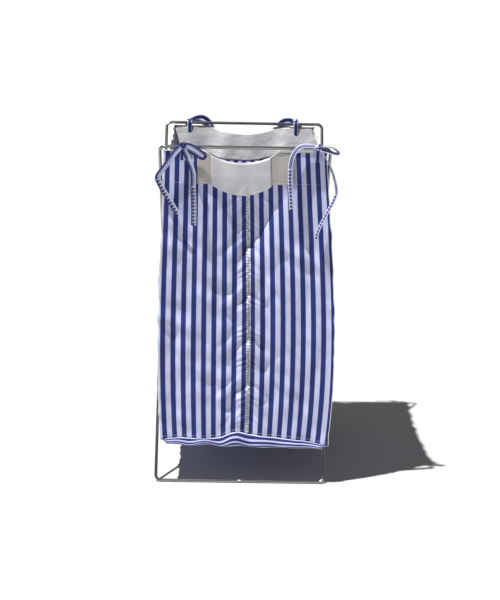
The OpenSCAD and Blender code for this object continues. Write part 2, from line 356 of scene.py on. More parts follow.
@dataclass(frozen=True)
class Thread:
    """Spun sewing thread."""

    name: str = "white thread"
    colour: Colour = (0.85, 0.86, 0.92)

    def material(self) -> Material:
        """Builds the material."""
        n = Nodes(self.name)
        place = n.add("TexCoord").outputs["Object"]
        ply = n.noise(place, 2500.0, 2)
        shade = tuple(0.8 * c for c in self.colour)
        return n.finish(Base_Color=n.mix(ply, self.colour, shade), Roughness=0.6,
                        Normal=n.bump(ply, 0.00005), Sheen_Weight=0.2)


@dataclass(frozen=True)
class Paper:
    """The pale floor."""

    name: str = "pale floor"
    colour: Colour = (0.55, 0.55, 0.55)

    def material(self) -> Material:
        """Builds the material."""
        n = Nodes(self.name)
        place = n.add("TexCoord").outputs["Object"]
        tooth = n.noise(place, 5.0, 2)
        shade = tuple(0.985 * c for c in self.colour)
        return n.finish(Base_Color=n.mix(tooth, self.colour, shade), Roughness=0.9, Specular_IOR_Level=0.1)


# ------------------------------------------------------------------ mesh helpers


def new_object(name: str, vertices: Points, faces: list, material: Material) -> Object:
    """Makes a smooth-shaded mesh object at the origin.

    Args:
        name: The object's name.
        vertices: The corners, n by 3.
        faces: Lists of corner numbers.
        material: The finish.

    Returns:
        The new object.
    """
    mesh = bpy.data.meshes.new(name)
    mesh.from_pydata(np.asarray(vertices, float).reshape(-1, 3).tolist(), [], faces)
    mesh.polygons.foreach_set("use_smooth", [True] * len(mesh.polygons))
    mesh.materials.append(material)
    obj = bpy.data.objects.new(name, mesh)
    bpy.context.scene.collection.objects.link(obj)
    return obj


def set_uv(obj: Object, uv: Points) -> None:
    """Gives a mesh its cloth coordinates, one pair per corner of the mesh."""
    layer = obj.data.uv_layers.new(name="weave")
    corners = np.empty(len(obj.data.loops), int)
    obj.data.loops.foreach_get("vertex_index", corners)
    layer.data.foreach_set("uv", uv.reshape(-1, 2)[corners].astype(np.float32).ravel())


def grid_faces(rows: int, cols: int, flip: bool = False) -> list:
    """The quads of a grid of rows by cols corners."""
    quads = [(r * cols + c, r * cols + c + 1, (r + 1) * cols + c + 1, (r + 1) * cols + c)
             for r in range(rows - 1) for c in range(cols - 1)]
    return [q[::-1] for q in quads] if flip else quads


def apply_modifiers(obj: Object) -> Object:
    """Turns an object's modifiers into plain mesh."""
    graph = bpy.context.evaluated_depsgraph_get()
    mesh = bpy.data.meshes.new_from_object(obj.evaluated_get(graph), depsgraph=graph)
    old = obj.data
    obj.modifiers.clear()
    obj.data = mesh
    bpy.data.meshes.remove(old)
    return obj


def thicken(obj: Object, thickness: float) -> Object:
    """Gives a sheet its thickness, inwards from its faces.

    Args:
        obj: The sheet.
        thickness: In metres.

    Returns:
        The same object, as plain mesh.
    """
    modifier = obj.modifiers.new("thickness", "SOLIDIFY")
    modifier.thickness = thickness
    modifier.offset = -1.0
    modifier.use_rim = True
    return apply_modifiers(obj)


def sheet_object(name: str, points: Points, uv: Points, material: Material,
                 thickness: float, flip: bool = False) -> Object:
    """Makes a cloth sheet from a grid of points.

    Args:
        name: The object's name.
        points: rows by cols by 3.
        uv: rows by cols by 2, in metres.
        material: The finish.
        thickness: The cloth's thickness in metres.
        flip: Whether the faces point the other way.

    Returns:
        The closed sheet.
    """
    rows, cols = points.shape[:2]
    obj = new_object(name, points, grid_faces(rows, cols, flip), material)
    set_uv(obj, uv)
    return thicken(obj, thickness)


def refine(points: Points) -> Points:
    """Doubles a grid's rows and columns along smooth curves through its points."""

    def along(a: Points) -> Points:
        pad = np.concatenate([2 * a[:1] - a[1:2], a, 2 * a[-1:] - a[-2:-1]])
        out = np.empty((2 * len(a) - 1,) + a.shape[1:])
        out[0::2] = a
        out[1::2] = (9 * (pad[1:-2] + pad[2:-1]) - pad[:-3] - pad[3:]) / 16
        return out

    return along(along(points).swapaxes(0, 1)).swapaxes(0, 1)


def smooth_path(points: Points, step: float) -> Points:
    """A smooth curve through points, with even steps of about the given length."""
    p = np.asarray(points, float)
    pad = np.concatenate([2 * p[:1] - p[1:2], p, 2 * p[-1:] - p[-2:-1]])
    t = np.linspace(0, 1, 16, endpoint=False)[:, None]
    out = [0.5 * (2 * b + (c - a) * t + (2 * a - 5 * b + 4 * c - d) * t**2 + (3 * b - a - 3 * c + d) * t**3)
           for a, b, c, d in zip(pad[:-3], pad[1:-2], pad[2:-1], pad[3:])]
    fine = np.concatenate(out + [p[-1:]])
    run = np.concatenate([[0], np.cumsum(np.linalg.norm(np.diff(fine, axis=0), axis=1))])
    count = max(2, int(round(run[-1] / step)) + 1)
    even = np.linspace(0, run[-1], count)
    return np.stack([np.interp(even, run, fine[:, k]) for k in range(3)], axis=1)


def unit(v: Points) -> Points:
    """Vectors scaled to length 1."""
    return v / np.maximum(np.linalg.norm(v, axis=-1, keepdims=True), 1e-12)


def hills(x: Points, seed: int, count: int, low: float, high: float) -> Points:
    """A smooth random wave of about -1 to 1.

    Args:
        x: Positions in metres.
        seed: Fixes the wave.
        count: How many sine waves it sums.
        low: The shortest wavelength in metres.
        high: The longest wavelength in metres.

    Returns:
        The wave at each position.
    """
    rng = np.random.default_rng(seed)
    total = np.zeros_like(x, dtype=float)
    for _ in range(count):
        wavelength = rng.uniform(low, high)
        total += np.sin(2 * np.pi * x / wavelength + rng.uniform(0, 2 * np.pi))
    return total / math.sqrt(count)


# ------------------------------------------------------------------ threads and hems


class ThreadKind(Enum):
    """How a thread shows along its line."""

    DASHES = "dashes"
    LINE = "line"


class ThreadTree:
    """A Geometry Nodes tree that lays a thread, or a row of stitches, along a line of mesh edges."""

    def __init__(self, kind: ThreadKind) -> None:
        """Builds the tree.

        Args:
            kind: A row of short stitches, or one round cord along the line.
        """
        self.kind = kind
        self.tree = bpy.data.node_groups.new(f"thread {kind.value}", "GeometryNodeTree")
        self.sockets = {}
        for name, form in (("Line", "Geometry"), ("Pitch", "Float"), ("Stitch", "Float"),
                           ("Radius", "Float"), ("Material", "Material")):
            self.sockets[name] = self.socket(name, "INPUT", form)
        self.socket("Geometry", "OUTPUT", "Geometry")
        self.inputs = self.tree.nodes.new("NodeGroupInput")
        curve = self.node("GeometryNodeMeshToCurve")
        self.join(self.inputs.outputs["Line"], curve.inputs["Mesh"])
        shape = self.dashes(curve) if kind is ThreadKind.DASHES else self.line(curve)
        finish = self.node("GeometryNodeSetMaterial")
        smooth = self.node("GeometryNodeSetShadeSmooth")
        self.join(shape, smooth.inputs["Geometry"])
        self.join(smooth.outputs["Geometry"], finish.inputs["Geometry"])
        self.join(self.inputs.outputs["Material"], finish.inputs["Material"])
        output = self.tree.nodes.new("NodeGroupOutput")
        self.join(finish.outputs["Geometry"], output.inputs[0])

    def socket(self, name: str, way: str, form: str) -> str:
        """Adds an input or an output to the tree and returns its identifier."""
        made_socket = self.tree.interface.new_socket(name=name, in_out=way, socket_type="NodeSocket" + form)
        return made_socket.identifier

    def node(self, kind: str) -> Node:
        """Adds a node."""
        return self.tree.nodes.new(kind)

    def join(self, source: object, target: object) -> None:
        """Joins two sockets."""
        self.tree.links.new(source, target)

    def dashes(self, curve: Node) -> object:
        """Adds the nodes for a row of stitches and returns their geometry socket."""
        spaced = self.node("GeometryNodeResampleCurve")
        spaced.mode = "LENGTH"
        self.join(curve.outputs["Curve"], spaced.inputs["Curve"])
        self.join(self.inputs.outputs["Pitch"], spaced.inputs["Length"])
        bead = self.node("GeometryNodeMeshUVSphere")
        bead.inputs["Segments"].default_value = 6
        bead.inputs["Rings"].default_value = 4
        bead.inputs["Radius"].default_value = 1.0
        size = self.node("ShaderNodeCombineXYZ")
        self.join(self.inputs.outputs["Stitch"], size.inputs[0])
        self.join(self.inputs.outputs["Radius"], size.inputs[1])
        self.join(self.inputs.outputs["Radius"], size.inputs[2])
        tangent = self.node("GeometryNodeInputTangent")
        turn = self.node("FunctionNodeAlignEulerToVector")
        turn.axis = "X"
        self.join(tangent.outputs["Tangent"], turn.inputs["Vector"])
        place = self.node("GeometryNodeInstanceOnPoints")
        self.join(spaced.outputs["Curve"], place.inputs["Points"])
        self.join(bead.outputs["Mesh"], place.inputs["Instance"])
        self.join(turn.outputs["Rotation"], place.inputs["Rotation"])
        self.join(size.outputs["Vector"], place.inputs["Scale"])
        real = self.node("GeometryNodeRealizeInstances")
        self.join(place.outputs["Instances"], real.inputs["Geometry"])
        return real.outputs["Geometry"]

    def line(self, curve: Node) -> object:
        """Adds the nodes for one round cord and returns its geometry socket."""
        ring = self.node("GeometryNodeCurvePrimitiveCircle")
        ring.inputs["Resolution"].default_value = 6
        self.join(self.inputs.outputs["Radius"], ring.inputs["Radius"])
        sweep = self.node("GeometryNodeCurveToMesh")
        sweep.inputs["Fill Caps"].default_value = True
        self.join(curve.outputs["Curve"], sweep.inputs["Curve"])
        self.join(ring.outputs["Curve"], sweep.inputs["Profile Curve"])
        return sweep.outputs["Mesh"]

    def lay(self, name: str, lines: list[Points], material: Material, radius: float,
            pitch: float = 0.003, stitch: float = 0.001, closed: bool = False) -> Object:
        """Lays thread along lines.

        Args:
            name: The object's name.
            lines: Each an n by 3 array of points.
            material: The thread's finish.
            radius: Its radius in metres.
            pitch: The distance between stitches.
            stitch: Half the length of a stitch.
            closed: Whether each line closes on itself.

        Returns:
            The thread as plain mesh.
        """
        mesh = bpy.data.meshes.new(name)
        edges, first = [], 0
        for line in lines:
            edges += [(first + k, first + k + 1) for k in range(len(line) - 1)]
            if closed:
                edges.append((first + len(line) - 1, first))
            first += len(line)
        mesh.from_pydata(np.concatenate(lines).tolist(), edges, [])
        obj = bpy.data.objects.new(name, mesh)
        modifier = obj.modifiers.new("thread", "NODES")
        modifier.node_group = self.tree
        values = {"Pitch": pitch, "Stitch": stitch, "Radius": radius, "Material": material}
        for key, value in values.items():
            modifier[self.sockets[key]] = value
        bpy.context.scene.collection.objects.link(obj)
        return apply_modifiers(obj)


def made(finish: object) -> object:
    """A dataclass field that holds a finish's material, built together with its owner."""
    return field(default_factory=finish.material)


@dataclass
class Workshop:
    """The finishes and thread trees that every sub-assembly shares."""

    wire: Material = made(WireSteel())
    rivet: Material = made(WireSteel("rivet steel", (0.5, 0.5, 0.5), (0.3, 0.3, 0.3), (0.3, 0.5)))
    weld: Material = made(WeldSteel())
    cotton: Material = made(StripedCotton(start=-3.4 * MM))
    gusset: Material = made(StripedCotton("gusset cotton", start=2.0 * MM))
    base: Material = made(StripedCotton("base cotton", pitch=7.6 * MM, blue_share=0.58, start=1.0 * MM))
    felled: Material = made(StripedCotton("felled seam cotton", pitch=40 * MM, blue_share=0.09,
                                          start=4.6 * MM, white=(0.66, 0.67, 0.82),
                                          bright=(0.80, 0.81, 0.90)))
    facing: Material = made(CoatedFacing())
    band: Material = made(CoatedFacing("silver band", (0.66, 0.66, 0.70), (0.38, 0.38, 0.41), crease=0.0010,
                                       roughness=(0.3, 0.5)))
    canvas: Material = made(CoatedFacing("grey canvas", (0.70, 0.68, 0.64), (0.24, 0.23, 0.215),
                                         (420, 420, 1), 0.8, 1500.0, 0.0003, 0.0006, 0.03, (0.6, 0.8)))
    # The side facings' copy of the silver facing, darker and flatter: painted shade, standing for the shade
    # on the sides' inner faces.
    side_facing_painted_shade: Material = made(CoatedFacing("side facing painted shade", (0.58, 0.58, 0.60), (0.40, 0.40, 0.43)))
    tape: Material = made(StripedCotton("tape cotton", pitch=19.2 * MM, blue_share=0.56, crease=0.0004))
    ribbon: Material = made(StripedCotton("ribbon cotton", pitch=9.6 * MM, blue_share=0.62, start=4.8 * MM,
                                          crease=0.0004))
    navy: Material = made(Thread("navy thread", (0.03, 0.04, 0.16)))
    thread: Material = made(Thread())
    hem: Material = made(Thread("hem edge", (0.82, 0.82, 0.84)))
    dashes: ThreadTree = field(default_factory=lambda: ThreadTree(ThreadKind.DASHES))
    line: ThreadTree = field(default_factory=lambda: ThreadTree(ThreadKind.LINE))


# ------------------------------------------------------------------ the stand


@dataclass
class Stand:
    """The two wire loops, their rivets and washers, and the butt weld that closes each loop."""

    wire_radius: float = 3.0 * MM
    weld_length: float = 7.0 * MM
    weld_proud: float = 0.22 * MM

    def foot_bar(self, node: str, front: bool) -> tuple[float, float]:
        """The y and z of a loop's foot bar, from its CAD node."""
        low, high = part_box(node)
        return (low[1] + self.wire_radius if front else high[1] - self.wire_radius), low[2] + self.wire_radius

    def weld(self, name: str, node: str, front: bool, shop: Workshop) -> Object:
        """Builds a weld bead round the middle of a foot bar.

        Args:
            name: The bead's name.
            node: The CAD node of the loop.
            front: Whether the foot bar is the front one.
            shop: The finishes.

        Returns:
            The bead.
        """
        y, z = self.foot_bar(node, front)
        rows, cols = 15, 36
        along = np.linspace(-1, 1, rows)[:, None] * np.ones(cols)
        angle = np.linspace(0, 2 * np.pi, cols, endpoint=False)[None, :] * np.ones((rows, 1))
        ripple = 0.65 + 0.35 * np.sin(5 * angle + 7 * along) * np.cos(3 * angle - 4 * along)
        radius = self.wire_radius + 0.03 * MM + self.weld_proud * (1 - along**2) * ripple
        grid = np.stack([along * self.weld_length / 2, y + radius * np.cos(angle),
                         z + radius * np.sin(angle)], -1)
        grid[..., 2] = np.maximum(grid[..., 2], 0.01 * MM)
        closed = np.concatenate([grid, grid[:, :1]], axis=1)
        obj = new_object(name, closed, grid_faces(rows, cols + 1), shop.weld)
        modifier = obj.modifiers.new("join", "WELD")
        modifier.merge_threshold = 1e-6
        apply_modifiers(obj)
        return thicken(obj, 0.2 * MM)

    def build(self, shop: Workshop) -> None:
        """Dresses the CAD nodes and adds the welds.

        Args:
            shop: The finishes.
        """
        for node in ("inner_loop", "inner_foot", "outer_loop", "outer_foot"):
            self.dress(node, shop.wire)
        for side in ("left", "right"):
            for part in ("rivet", "spacer"):
                self.dress(f"{side}_{part}", shop.rivet)
        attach(self.weld("front_foot_weld", "outer_foot", True, shop), Body.OUTER.value)
        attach(self.weld("back_foot_weld", "inner_foot", False, shop), Body.INNER.value)

    @staticmethod
    def dress(node: str, material: Material) -> None:
        """Gives a CAD node its finish."""
        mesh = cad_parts[node].data
        mesh.materials.clear()
        mesh.materials.append(material)


# ------------------------------------------------------------------ the sack


class Side(Enum):
    """The sack's four walls, in the order in which they go round."""

    FRONT = 0
    RIGHT = 1
    BACK = 2
    LEFT = 3


@dataclass(frozen=True)
class Fold:
    """A soft crease of the front cloth, from one flat position to another.

    Positions are in metres, the depth in millimetres, and the width, which sets how fast it fades, in metres.
    """

    x0: float
    z0: float
    x1: float
    z1: float
    depth: float
    width: float

    def press(self, x: Points, z: Points) -> Points:
        """How far the crease sinks the cloth at each flat position, in metres."""
        dx, dz = self.x1 - self.x0, self.z1 - self.z0
        t = np.clip(((x - self.x0) * dx + (z - self.z0) * dz) / (dx**2 + dz**2), 0, 1)
        bent = 0.006 * np.sin(3 * t + 40 * self.x0)
        gap = np.hypot(x - self.x0 - t * dx, z - self.z0 - t * dz + bent)
        taper = np.sin(np.pi * np.clip(0.10 + 0.82 * t, 0, 1)) ** 0.7
        blunt = 0.0022
        return self.depth * MM * taper * np.exp(-(np.sqrt(gap**2 + blunt**2) - blunt) / self.width)


FRONT_FOLDS = tuple(Fold(*row) for row in (
    (-0.132, 0.52, -0.085, 0.420, 2.8, 0.010), (0.128, 0.53, 0.082, 0.420, 3.4, 0.010),
    (-0.085, 0.50, -0.040, 0.415, 3.0, 0.009), (-0.112, 0.42, -0.095, 0.300, 2.6, 0.010),
    (-0.070, 0.40, -0.016, 0.310, 3.6, 0.010), (0.080, 0.44, 0.026, 0.365, 3.4, 0.009),
    (0.060, 0.375, 0.022, 0.300, 3.0, 0.008), (0.125, 0.40, 0.105, 0.280, 2.8, 0.010),
    (-0.060, 0.270, -0.018, 0.205, 3.2, 0.009), (0.070, 0.255, 0.026, 0.200, 3.0, 0.009),
    (-0.130, 0.28, -0.112, 0.15, 2.6, 0.011), (0.145, 0.27, 0.118, 0.15, 2.8, 0.010),
    (-0.045, 0.165, -0.018, 0.130, 2.4, 0.008), (0.055, 0.165, 0.026, 0.135, 2.6, 0.008)))


@dataclass
class Sack:
    """The sack as one hung cloth, from which every panel, facing, seam and stitch is cut.

    Sizes are in metres. The walls go round as one grid: front, right, back, left.
    """

    SOLVER = (("quality", 7), ("mass", 0.12), ("tension_stiffness", 40), ("compression_stiffness", 30),
              ("shear_stiffness", 12), ("bending_stiffness", 0.6), ("tension_damping", 15),
              ("compression_damping", 15), ("shear_damping", 15), ("bending_damping", 2), ("air_damping", 3),
              ("uniform_pressure_force", 0.35))
    mouth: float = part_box("front_left_panel")[1][2]
    base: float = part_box("front_left_panel")[0][2]
    front_y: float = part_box("inner_loop")[0][1] + 3 * MM
    back_y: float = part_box("outer_loop")[1][1] - 3 * MM
    left: float = -0.152
    right: float = 0.166
    leg_inside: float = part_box("inner_loop")[1][0] - 6 * MM
    reach_left: float = 0.165
    reach_right: float = 0.178
    reach_y: float = 0.222
    scoop_half: float = 0.072
    front_scoop: float = 0.022
    back_scoop: float = 0.014
    side_scoop: float = 0.026
    facing_depth: float = 0.056
    seam_x: float = 0.010
    cell: float = 0.0075
    cloth: float = 0.6 * MM
    slack: float = 0.016
    slack_down: float = 0.008
    tab_low: float = 0.5745
    pucker_pitch: float = 0.0145
    pucker_height: float = 1.25 * MM
    pull_pitch: float = 0.085
    pull_height: float = 2.6 * MM
    back_sink: float = 20 * MM
    frames: int = 48
    fine: int = 4
    starts: list = field(init=False, default_factory=list)
    rest: Points = field(init=False, default=None)
    walls: Points = field(init=False, default=None)
    outward: Points = field(init=False, default=None)
    floor: Points = field(init=False, default=None)
    floor_rest: Points = field(init=False, default=None)

    def corners(self) -> Points:
        """The sack's corners in plan: front left, front right, back right, back left."""
        return np.array([[self.left, self.front_y], [self.right, self.front_y],
                         [self.right - 0.006, self.back_y], [self.left - 0.002, self.back_y]])

    def plan(self) -> tuple[Points, Points, Points]:
        """Lays out the columns.

        Returns:
            The plan position of each column, its side, and its share along that side.
        """
        corner = self.corners()
        across = int(round((self.right - self.left) / self.cell))
        deep = int(round((self.back_y - self.front_y) / self.cell))
        counts = (across, deep, across, deep)
        self.starts = [0] + list(np.cumsum(counts))
        spots = [corner[k] + (corner[(k + 1) % 4] - corner[k]) * i / counts[k]
                 for k in range(4) for i in range(counts[k])]
        sides = np.repeat(np.arange(4), counts)
        shares = np.concatenate([np.arange(n) / n for n in counts])
        return np.array(spots), sides, shares

    def edge_height(self, spots: Points, sides: Points, shares: Points) -> Points:
        """The height of the cut top edge over each column."""
        bowl = np.clip(1 - (spots[:, 0] / self.scoop_half) ** 2, 0, 1) ** 0.8
        side = 1 - (2 * shares - 1) ** 2
        drop = np.where(sides == 0, self.front_scoop * bowl,
                        np.where(sides == 2, self.back_scoop * bowl, self.side_scoop * side))
        return self.mouth - drop

    def ties(self) -> list[tuple[int, float]]:
        """The side and x of each tie."""
        found = []
        for name, side in (("front_left", 0), ("front_right", 0), ("back_left", 2), ("back_right", 2)):
            low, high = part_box(name + "_knot")
            found.append((side, (low[0] + high[0]) / 2))
        return found

    def cut(self) -> tuple[Object, Points, Points]:
        """Builds the flat-walled sack that is hung.

        Returns:
            The object, and the numbers of its wall corners and of its floor corners.
        """
        spots, sides, shares = self.plan()
        top = self.edge_height(spots, sides, shares)
        rows = int(round((self.mouth - self.base) / self.cell))
        v = np.linspace(0, 1, rows + 1)[:, None]
        z = top[None, :] * (1 - v) + self.base * v
        wall = np.stack([np.broadcast_to(spots[:, 0], z.shape), np.broadcast_to(spots[:, 1], z.shape), z], -1)
        count = len(spots)
        numbers = np.arange(wall.shape[0] * count).reshape(-1, count)
        after = np.roll(numbers, -1, axis=1)
        faces = [(numbers[r + 1, c], after[r + 1, c], after[r, c], numbers[r, c])
                 for r in range(rows) for c in range(count)]
        nx, ny = self.starts[1], self.starts[2] - self.starts[1]
        rim = np.append(numbers[-1], numbers[-1][0])
        floor = np.empty((ny + 1, nx + 1), int)
        floor[0, :] = rim[: nx + 1]
        floor[:, nx] = rim[self.starts[1]: self.starts[2] + 1]
        floor[ny, :] = rim[self.starts[2]: self.starts[3] + 1][::-1]
        floor[:, 0] = rim[self.starts[3]:][::-1]
        floor[1:-1, 1:-1] = np.arange((ny - 1) * (nx - 1)).reshape(ny - 1, nx - 1) + numbers.size
        corner = self.corners()
        a = np.linspace(0, 1, nx + 1)[None, 1:-1, None]
        b = np.linspace(0, 1, ny + 1)[1:-1, None, None]
        spread = (corner[0] * (1 - a) + corner[1] * a) * (1 - b) + (corner[3] * (1 - a) + corner[2] * a) * b
        flat = np.concatenate([spread, np.full(spread.shape[:2] + (1,), self.base)], -1)
        faces += [(floor[r, c], floor[r + 1, c], floor[r + 1, c + 1], floor[r, c + 1])
                  for r in range(ny) for c in range(nx)]
        points = np.concatenate([wall.reshape(-1, 3), flat.reshape(-1, 3)])
        mesh = bpy.data.meshes.new("hung cloth")
        mesh.from_pydata(points.tolist(), [], [tuple(int(i) for i in f) for f in faces])
        obj = bpy.data.objects.new("hung cloth", mesh)
        bpy.context.scene.collection.objects.link(obj)
        return obj, numbers, floor

    def edges(self, z: Points) -> Points:
        """Where the upright edges stand at a height: front left, front right, back right, back left."""
        at = (0.08, 0.165, 0.320, 0.455, 0.57, 0.64)
        out = ((-0.150, -0.153, -0.156, -0.151, -0.147, -0.146), (0.165, 0.169, 0.172, 0.162, 0.150, 0.147),
               (0.158, 0.160, 0.160, 0.154, 0.146, 0.145), (-0.150, -0.155, -0.158, -0.153, -0.146, -0.145))
        return np.stack([np.polyval(np.polyfit(at, x, 3), z) for x in out])

    def hung_start(self, rest: Points, numbers: Points, floor: Points) -> Points:
        """The shape that the cloth falls from: upright edges in place, walls straight between them."""
        start = rest.copy()
        _, sides, shares = self.plan()
        side, share = sides[None, :] + 0 * numbers, shares[None, :] + 0.0 * numbers
        edge = self.edges(rest[numbers, 2])
        here = np.take_along_axis(edge, side[None], 0)[0]
        there = np.take_along_axis(edge, ((side + 1) % 4)[None], 0)[0]
        start[numbers, 0] = here * (1 - share) + there * share
        inner = floor[1:-1, 1:-1]
        a = np.linspace(0, 1, floor.shape[1])[None, 1:-1]
        start[inner, 0] = start[floor[1:-1, 0], 0][:, None] * (1 - a) + start[floor[1:-1, -1], 0][:, None] * a
        return start

    def pinned(self, numbers: Points) -> list[int]:
        """The corners of the mesh that the ties and the stiff upright edges hold."""
        spots, sides, _ = self.plan()
        held = []
        for side, x in self.ties():
            near = np.where((sides == side) & (np.abs(spots[:, 0] - x) < 9 * MM))[0]
            held += numbers[0, near].tolist() + numbers[1, near].tolist()
        for start in self.starts[:4]:
            held += numbers[:, start].tolist()
            held += [int(numbers[-1, (start + k) % numbers.shape[1]]) for k in (-2, -1, 1, 2)]
        return sorted(set(held))

    def hang(self, obj: Object, held: list[int], start: Points, pattern: Points) -> Points:
        """Hangs the cloth from its ties by simulation.

        Args:
            obj: The flat-walled sack.
            held: The corners that stay in place.
            start: Where the corners start.
            pattern: The slightly larger shape that the cloth was cut to.

        Returns:
            Where each corner comes to rest.
        """
        count = len(obj.data.vertices)
        obj.shape_key_add(name="Basis")
        key = obj.shape_key_add(name="pattern")
        key.data.foreach_set("co", pattern.astype(np.float32).ravel())
        key.value = 0.0
        obj.data.shape_keys.key_blocks[0].data.foreach_set("co", start.astype(np.float32).ravel())
        obj.data.vertices.foreach_set("co", start.astype(np.float32).ravel())
        group = obj.vertex_groups.new(name="held")
        group.add(held, 1.0, "REPLACE")
        modifier = obj.modifiers.new("hang", "CLOTH")
        cloth = modifier.settings
        for setting, value in self.SOLVER:
            setattr(cloth, setting, value)
        cloth.vertex_group_mass = "held"
        cloth.rest_shape_key = key
        cloth.use_pressure = True
        modifier.collision_settings.use_collision = False
        modifier.collision_settings.use_self_collision = False
        scene = bpy.context.scene
        frames = self.frames
        modifier.point_cache.frame_start = 1
        modifier.point_cache.frame_end = frames
        for frame_number in range(1, frames + 1):
            scene.frame_set(frame_number)
        graph = bpy.context.evaluated_depsgraph_get()
        mesh = obj.evaluated_get(graph).to_mesh()
        hung = np.empty(count * 3, np.float32)
        mesh.vertices.foreach_get("co", hung)
        scene.frame_set(1)
        bpy.data.objects.remove(obj)
        return hung.reshape(-1, 3).astype(float)

    def relax(self, hung: Points) -> Points:
        """Keeps hung cloth clear of the legs and inside the room that the stand leaves it."""
        out = hung.copy()
        y, z = out[:, 1], out[:, 2]
        low, high = 3 * MM, self.mouth + 7 * MM
        near = np.full(len(out), 1.0)
        for foot_y in (self.front_y, self.back_y):
            along = np.array([-2 * foot_y, high - low])
            along /= np.linalg.norm(along)
            near = np.minimum(near, np.abs((y - foot_y) * along[1] - (z - low) * along[0]))
        room = self.leg_inside - 0.7 * MM + 0.8 * np.maximum(0, near - 4 * MM)
        out[:, 0] = np.clip(out[:, 0], -np.minimum(room, self.reach_left), np.minimum(room, self.reach_right))
        out[:, 1] = np.clip(out[:, 1], -self.reach_y, self.reach_y)
        return out

    @staticmethod
    def ridge(turn: Points) -> Points:
        """A wave with narrow valleys and broad crests, as pulled cloth has."""
        return 1 - 2 * np.abs(np.cos(turn / 2)) ** 3 * 0.9 - 0.25

    def puckers(self, x: Points, z: Points, seam: float) -> Points:
        """The fine puckers beside a seam and the longer pulls that run into it, in metres outwards."""
        off, side = np.abs(x - seam), np.sign(x - seam)
        swell = np.clip(0.75 + 0.55 * hills(z, 11, 4, 0.05, 0.16), 0.15, 1.6)
        turn = 2 * np.pi * (z + 0.75 * off) / self.pucker_pitch + 1.3 * side
        turn = turn + 2.0 * hills(z, 12, 3, 0.04, 0.1)
        near = np.exp(-((off / 0.018) ** 1.5))
        pucker = self.pucker_height * swell * near * self.ridge(turn)
        turn = 2 * np.pi * (z + 2.1 * off) / self.pull_pitch + 2.4 * side
        turn = turn + 2.5 * hills(z, 13, 3, 0.08, 0.2)
        return pucker + self.pull_height * np.exp(-((off / 0.046) ** 2)) * self.ridge(turn)

    def valley(self, x: Points, z: Points) -> Points:
        """How far the front sinks under its band, deepest along a broad V, in metres."""
        middle, crest = 0.004, 0.590
        left, right = 0.452 + 2.35 * (middle - x), 0.446 + 1.35 * (x - middle)
        low = np.where(x < middle, left, right) + 0.004 * hills(x, 41, 3, 0.03, 0.08)
        low = np.clip(low, 0.44, 0.560)
        above = np.clip((crest - z) / (crest - low), 0, 1)
        below = np.exp(-np.maximum(low - z, 0) / 0.045)
        reach = np.exp(-((np.abs(x - middle) / 0.085) ** 4))
        return reach * 0.165 * (crest - low) * np.where(z > low, above**1.15, below)

    def waves(self, x: Points, y: Points, z: Points, front: Points, back: Points) -> Points:
        """The long soft waves and the small uneven ones of all four walls, in metres outwards."""
        drift = 0.10 * (z - 0.35)
        wave = hills(x + drift, 21, 4, 0.035, 0.085) * (0.6 + 0.4 * hills(z, 22, 3, 0.15, 0.4))
        push = front * 1.45 * MM * wave
        wave = hills(x - drift, 23, 4, 0.035, 0.090) * (0.6 + 0.4 * hills(z, 24, 3, 0.15, 0.4))
        push += back * 1.3 * MM * wave
        sides = np.clip(1 - front - back, 0, 1)
        push += sides * 1.6 * MM * hills(y + 0.2 * np.sign(x) * z, 25, 4, 0.035, 0.09)
        rough = hills(x + 0.7 * z, 26, 3, 0.05, 0.12) * hills(z - 0.5 * x + y, 27, 3, 0.06, 0.14)
        push += 2.1 * MM * rough * np.clip((0.56 - z) / 0.1, 0, 1)
        fine = hills(x + 0.4 * z, 28, 4, 0.018, 0.040) * hills(z + 0.5 * x - y, 29, 4, 0.03, 0.07)
        return push + 0.35 * MM * fine * np.clip((0.57 - z) / 0.05, 0, 1)

    def sculpt(self, points: Points, rest: Points, outward: Points) -> Points:
        """Adds the folds and puckers that are finer than the hung cloth's grid.

        Args:
            points: rows by columns by 3, the hung walls.
            rest: The same corners before hanging.
            outward: Their outward directions.

        Returns:
            The finished walls.
        """
        x, y, z = rest[..., 0], rest[..., 1], rest[..., 2]
        front = np.clip((self.front_y + 1.5 * self.cell - y) / self.cell, 0, 1)
        back = np.clip((y - self.back_y + 1.5 * self.cell) / self.cell, 0, 1)
        low = np.clip((0.575 - z) / 0.03, 0, 1) * np.clip((z - self.base - 0.008) / 0.02, 0, 1)
        push = low * (front * self.puckers(x, z, self.seam_x) + back * self.puckers(x, z, 0.0))
        push -= front * self.valley(x, z)
        slope = np.clip((self.mouth - z) / 0.085, 0, 1) * np.clip((z - 0.36) / 0.19, 0, 1)
        push -= back * self.back_sink * slope * (1 + 0.35 * hills(x, 42, 3, 0.06, 0.16))
        for fold in FRONT_FOLDS:
            push -= front * fold.press(x, z)
        push += self.waves(x, y, z, front, back)
        return points + outward * push[..., None]

    def lay_out(self, hung: Points, rest: Points, numbers: Points, floor: Points) -> None:
        """Refines the hung cloth and keeps it as the surface that every piece is cut from.

        Args:
            hung: Where each corner came to rest.
            rest: Where it was cut.
            numbers: The wall's corner numbers.
            floor: The floor's corner numbers.
        """

        def closed(a: Points) -> Points:
            wide = np.concatenate([a[:, -3:], a, a[:, :4]], axis=1)
            fine = refine(refine(wide))
            return fine[:, 3 * self.fine: self.fine * (3 + a.shape[1])]

